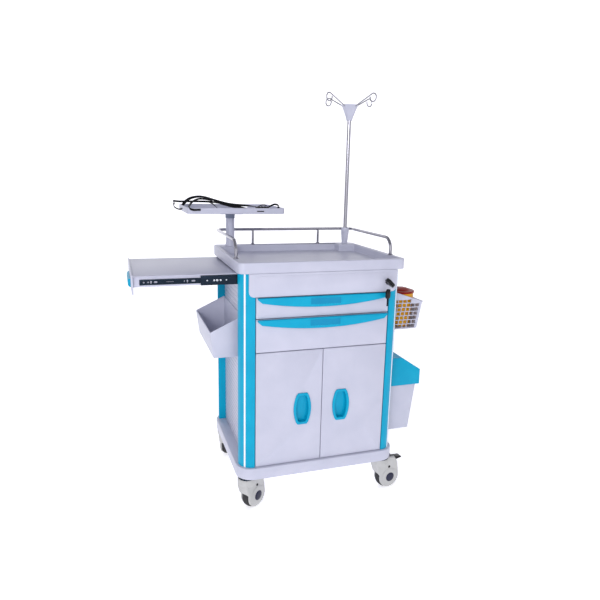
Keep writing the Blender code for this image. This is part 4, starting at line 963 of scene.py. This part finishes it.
# %% [markdown]
# ## Studio
# Products like this are shown on a white cove whose floor curves up into its walls, so there is no horizon.
# The cove here is a profile spun all round, made of lit acrylic: it glows a little, which keeps it white
# while the cart stays a tone darker. It is dimmer on both sides and open at the top, so the cart's sides
# and its level tops fall into gentle shade, and the polished metal has something darker to reflect.

# %% Lit cove
FLOOR_RADIUS, COVE_BEND, COVE_TOP = 5.0, 2.0, 5.5
# The glow fades sideways, between these distances from the cart in metres.
GLOW_BRIGHT, GLOW_DIM, DIM_FROM, DIM_AT, SIDEWAYS = 0.56, 0.05, 3.2, 6.0, (0.95, -0.32, 0.0)


def lit_acrylic():
    made, tree, shader, place = started("lit_acrylic")
    across = add(tree, "ShaderNodeVectorMath", {0: place, 1: SIDEWAYS},
                 operation="DOT_PRODUCT").outputs["Value"]
    aside = add(tree, "ShaderNodeMath", {0: across}, operation="ABSOLUTE").outputs[0]
    glow = add(tree, "ShaderNodeMapRange", {"Value": aside, "From Min": DIM_FROM, "From Max": DIM_AT,
                                            "To Min": GLOW_BRIGHT, "To Max": GLOW_DIM})
    tree.links.new(glow.outputs["Result"], shader.inputs["Emission Strength"])
    shader.inputs["Emission Color"].default_value = linear("#FDFDFF")
    shader.inputs["Base Color"].default_value = linear("#F0F0F2")
    shader.inputs["Roughness"].default_value = 0.9
    return made


bend = arc((FLOOR_RADIUS, COVE_BEND), COVE_BEND, -90, 0, 9)
cove = turned([(0, 0)] + bend + [(FLOOR_RADIUS + COVE_BEND, COVE_TOP)], 64)
inner = Vector((0, 0, 3))
outward = [f for f in cove.faces if f.normal.dot(inner - f.calc_center_median()) < 0]
bmesh.ops.reverse_faces(cove, faces=outward)
cove_mesh = as_mesh("cove", cove)
cove_mesh.materials.append(lit_acrylic())
cove_mesh.shade_smooth()
placed("cove", cove_mesh)
print("cove", 2 * (FLOOR_RADIUS + COVE_BEND), "m across")

# %% Lights
LAMP_AT, LAMP_SIZE, LAMP_POWER, LAMP_TARGET = (-1.9, -3.7, 1.9), 0.9, 42, (0, 0, 0.75)
lamp = bpy.data.lights.new("front_light", "AREA")
lamp.shape, lamp.size, lamp.energy, lamp.color = "SQUARE", LAMP_SIZE, LAMP_POWER, linear("#F8F8FF")[:3]
front_light = placed("front_light", lamp)
front_light.location = LAMP_AT
front_light.rotation_euler = (Vector(LAMP_TARGET) - Vector(LAMP_AT)).to_track_quat("-Z", "Y").to_euler()
world = bpy.data.worlds.new("studio")
bpy.context.scene.world = world
world.use_nodes = True
world.node_tree.nodes["Background"].inputs["Color"].default_value = linear("#F4F4FF")
world.node_tree.nodes["Background"].inputs["Strength"].default_value = 0.42
bpy.context.scene.view_settings.view_transform = "Standard"

# %% [markdown]
# ## Camera
# The camera stands to the left at about chest height and looks a little down. Its direction is built from
# three angles, yaw, pitch and a slight roll, because three plain numbers are easier to read than a matrix.

# %% Camera
CAMERA_AT = CABINET + Vector((-0.6962, -2.0526, 1.2340))
YAW, PITCH, ROLL = 0.3225, 0.2204, 0.0227
ahead = Vector((sin(YAW) * cos(PITCH), cos(YAW) * cos(PITCH), -sin(PITCH)))
level = Vector((cos(YAW), -sin(YAW), 0))
upright = level.cross(ahead)
right = cos(ROLL) * level + sin(ROLL) * upright
up = -sin(ROLL) * level + cos(ROLL) * upright
camera = placed("camera", bpy.data.cameras.new("camera"))
camera.data.sensor_width, camera.data.lens = 36.0, 33.37
camera.matrix_world = Matrix.Translation(CAMERA_AT) @ Matrix((right, up, -ahead)).transposed().to_4x4()
bpy.context.scene.camera = camera
print("camera", round((CAMERA_AT - CABINET).length, 2), "m from the cabinet's foot")
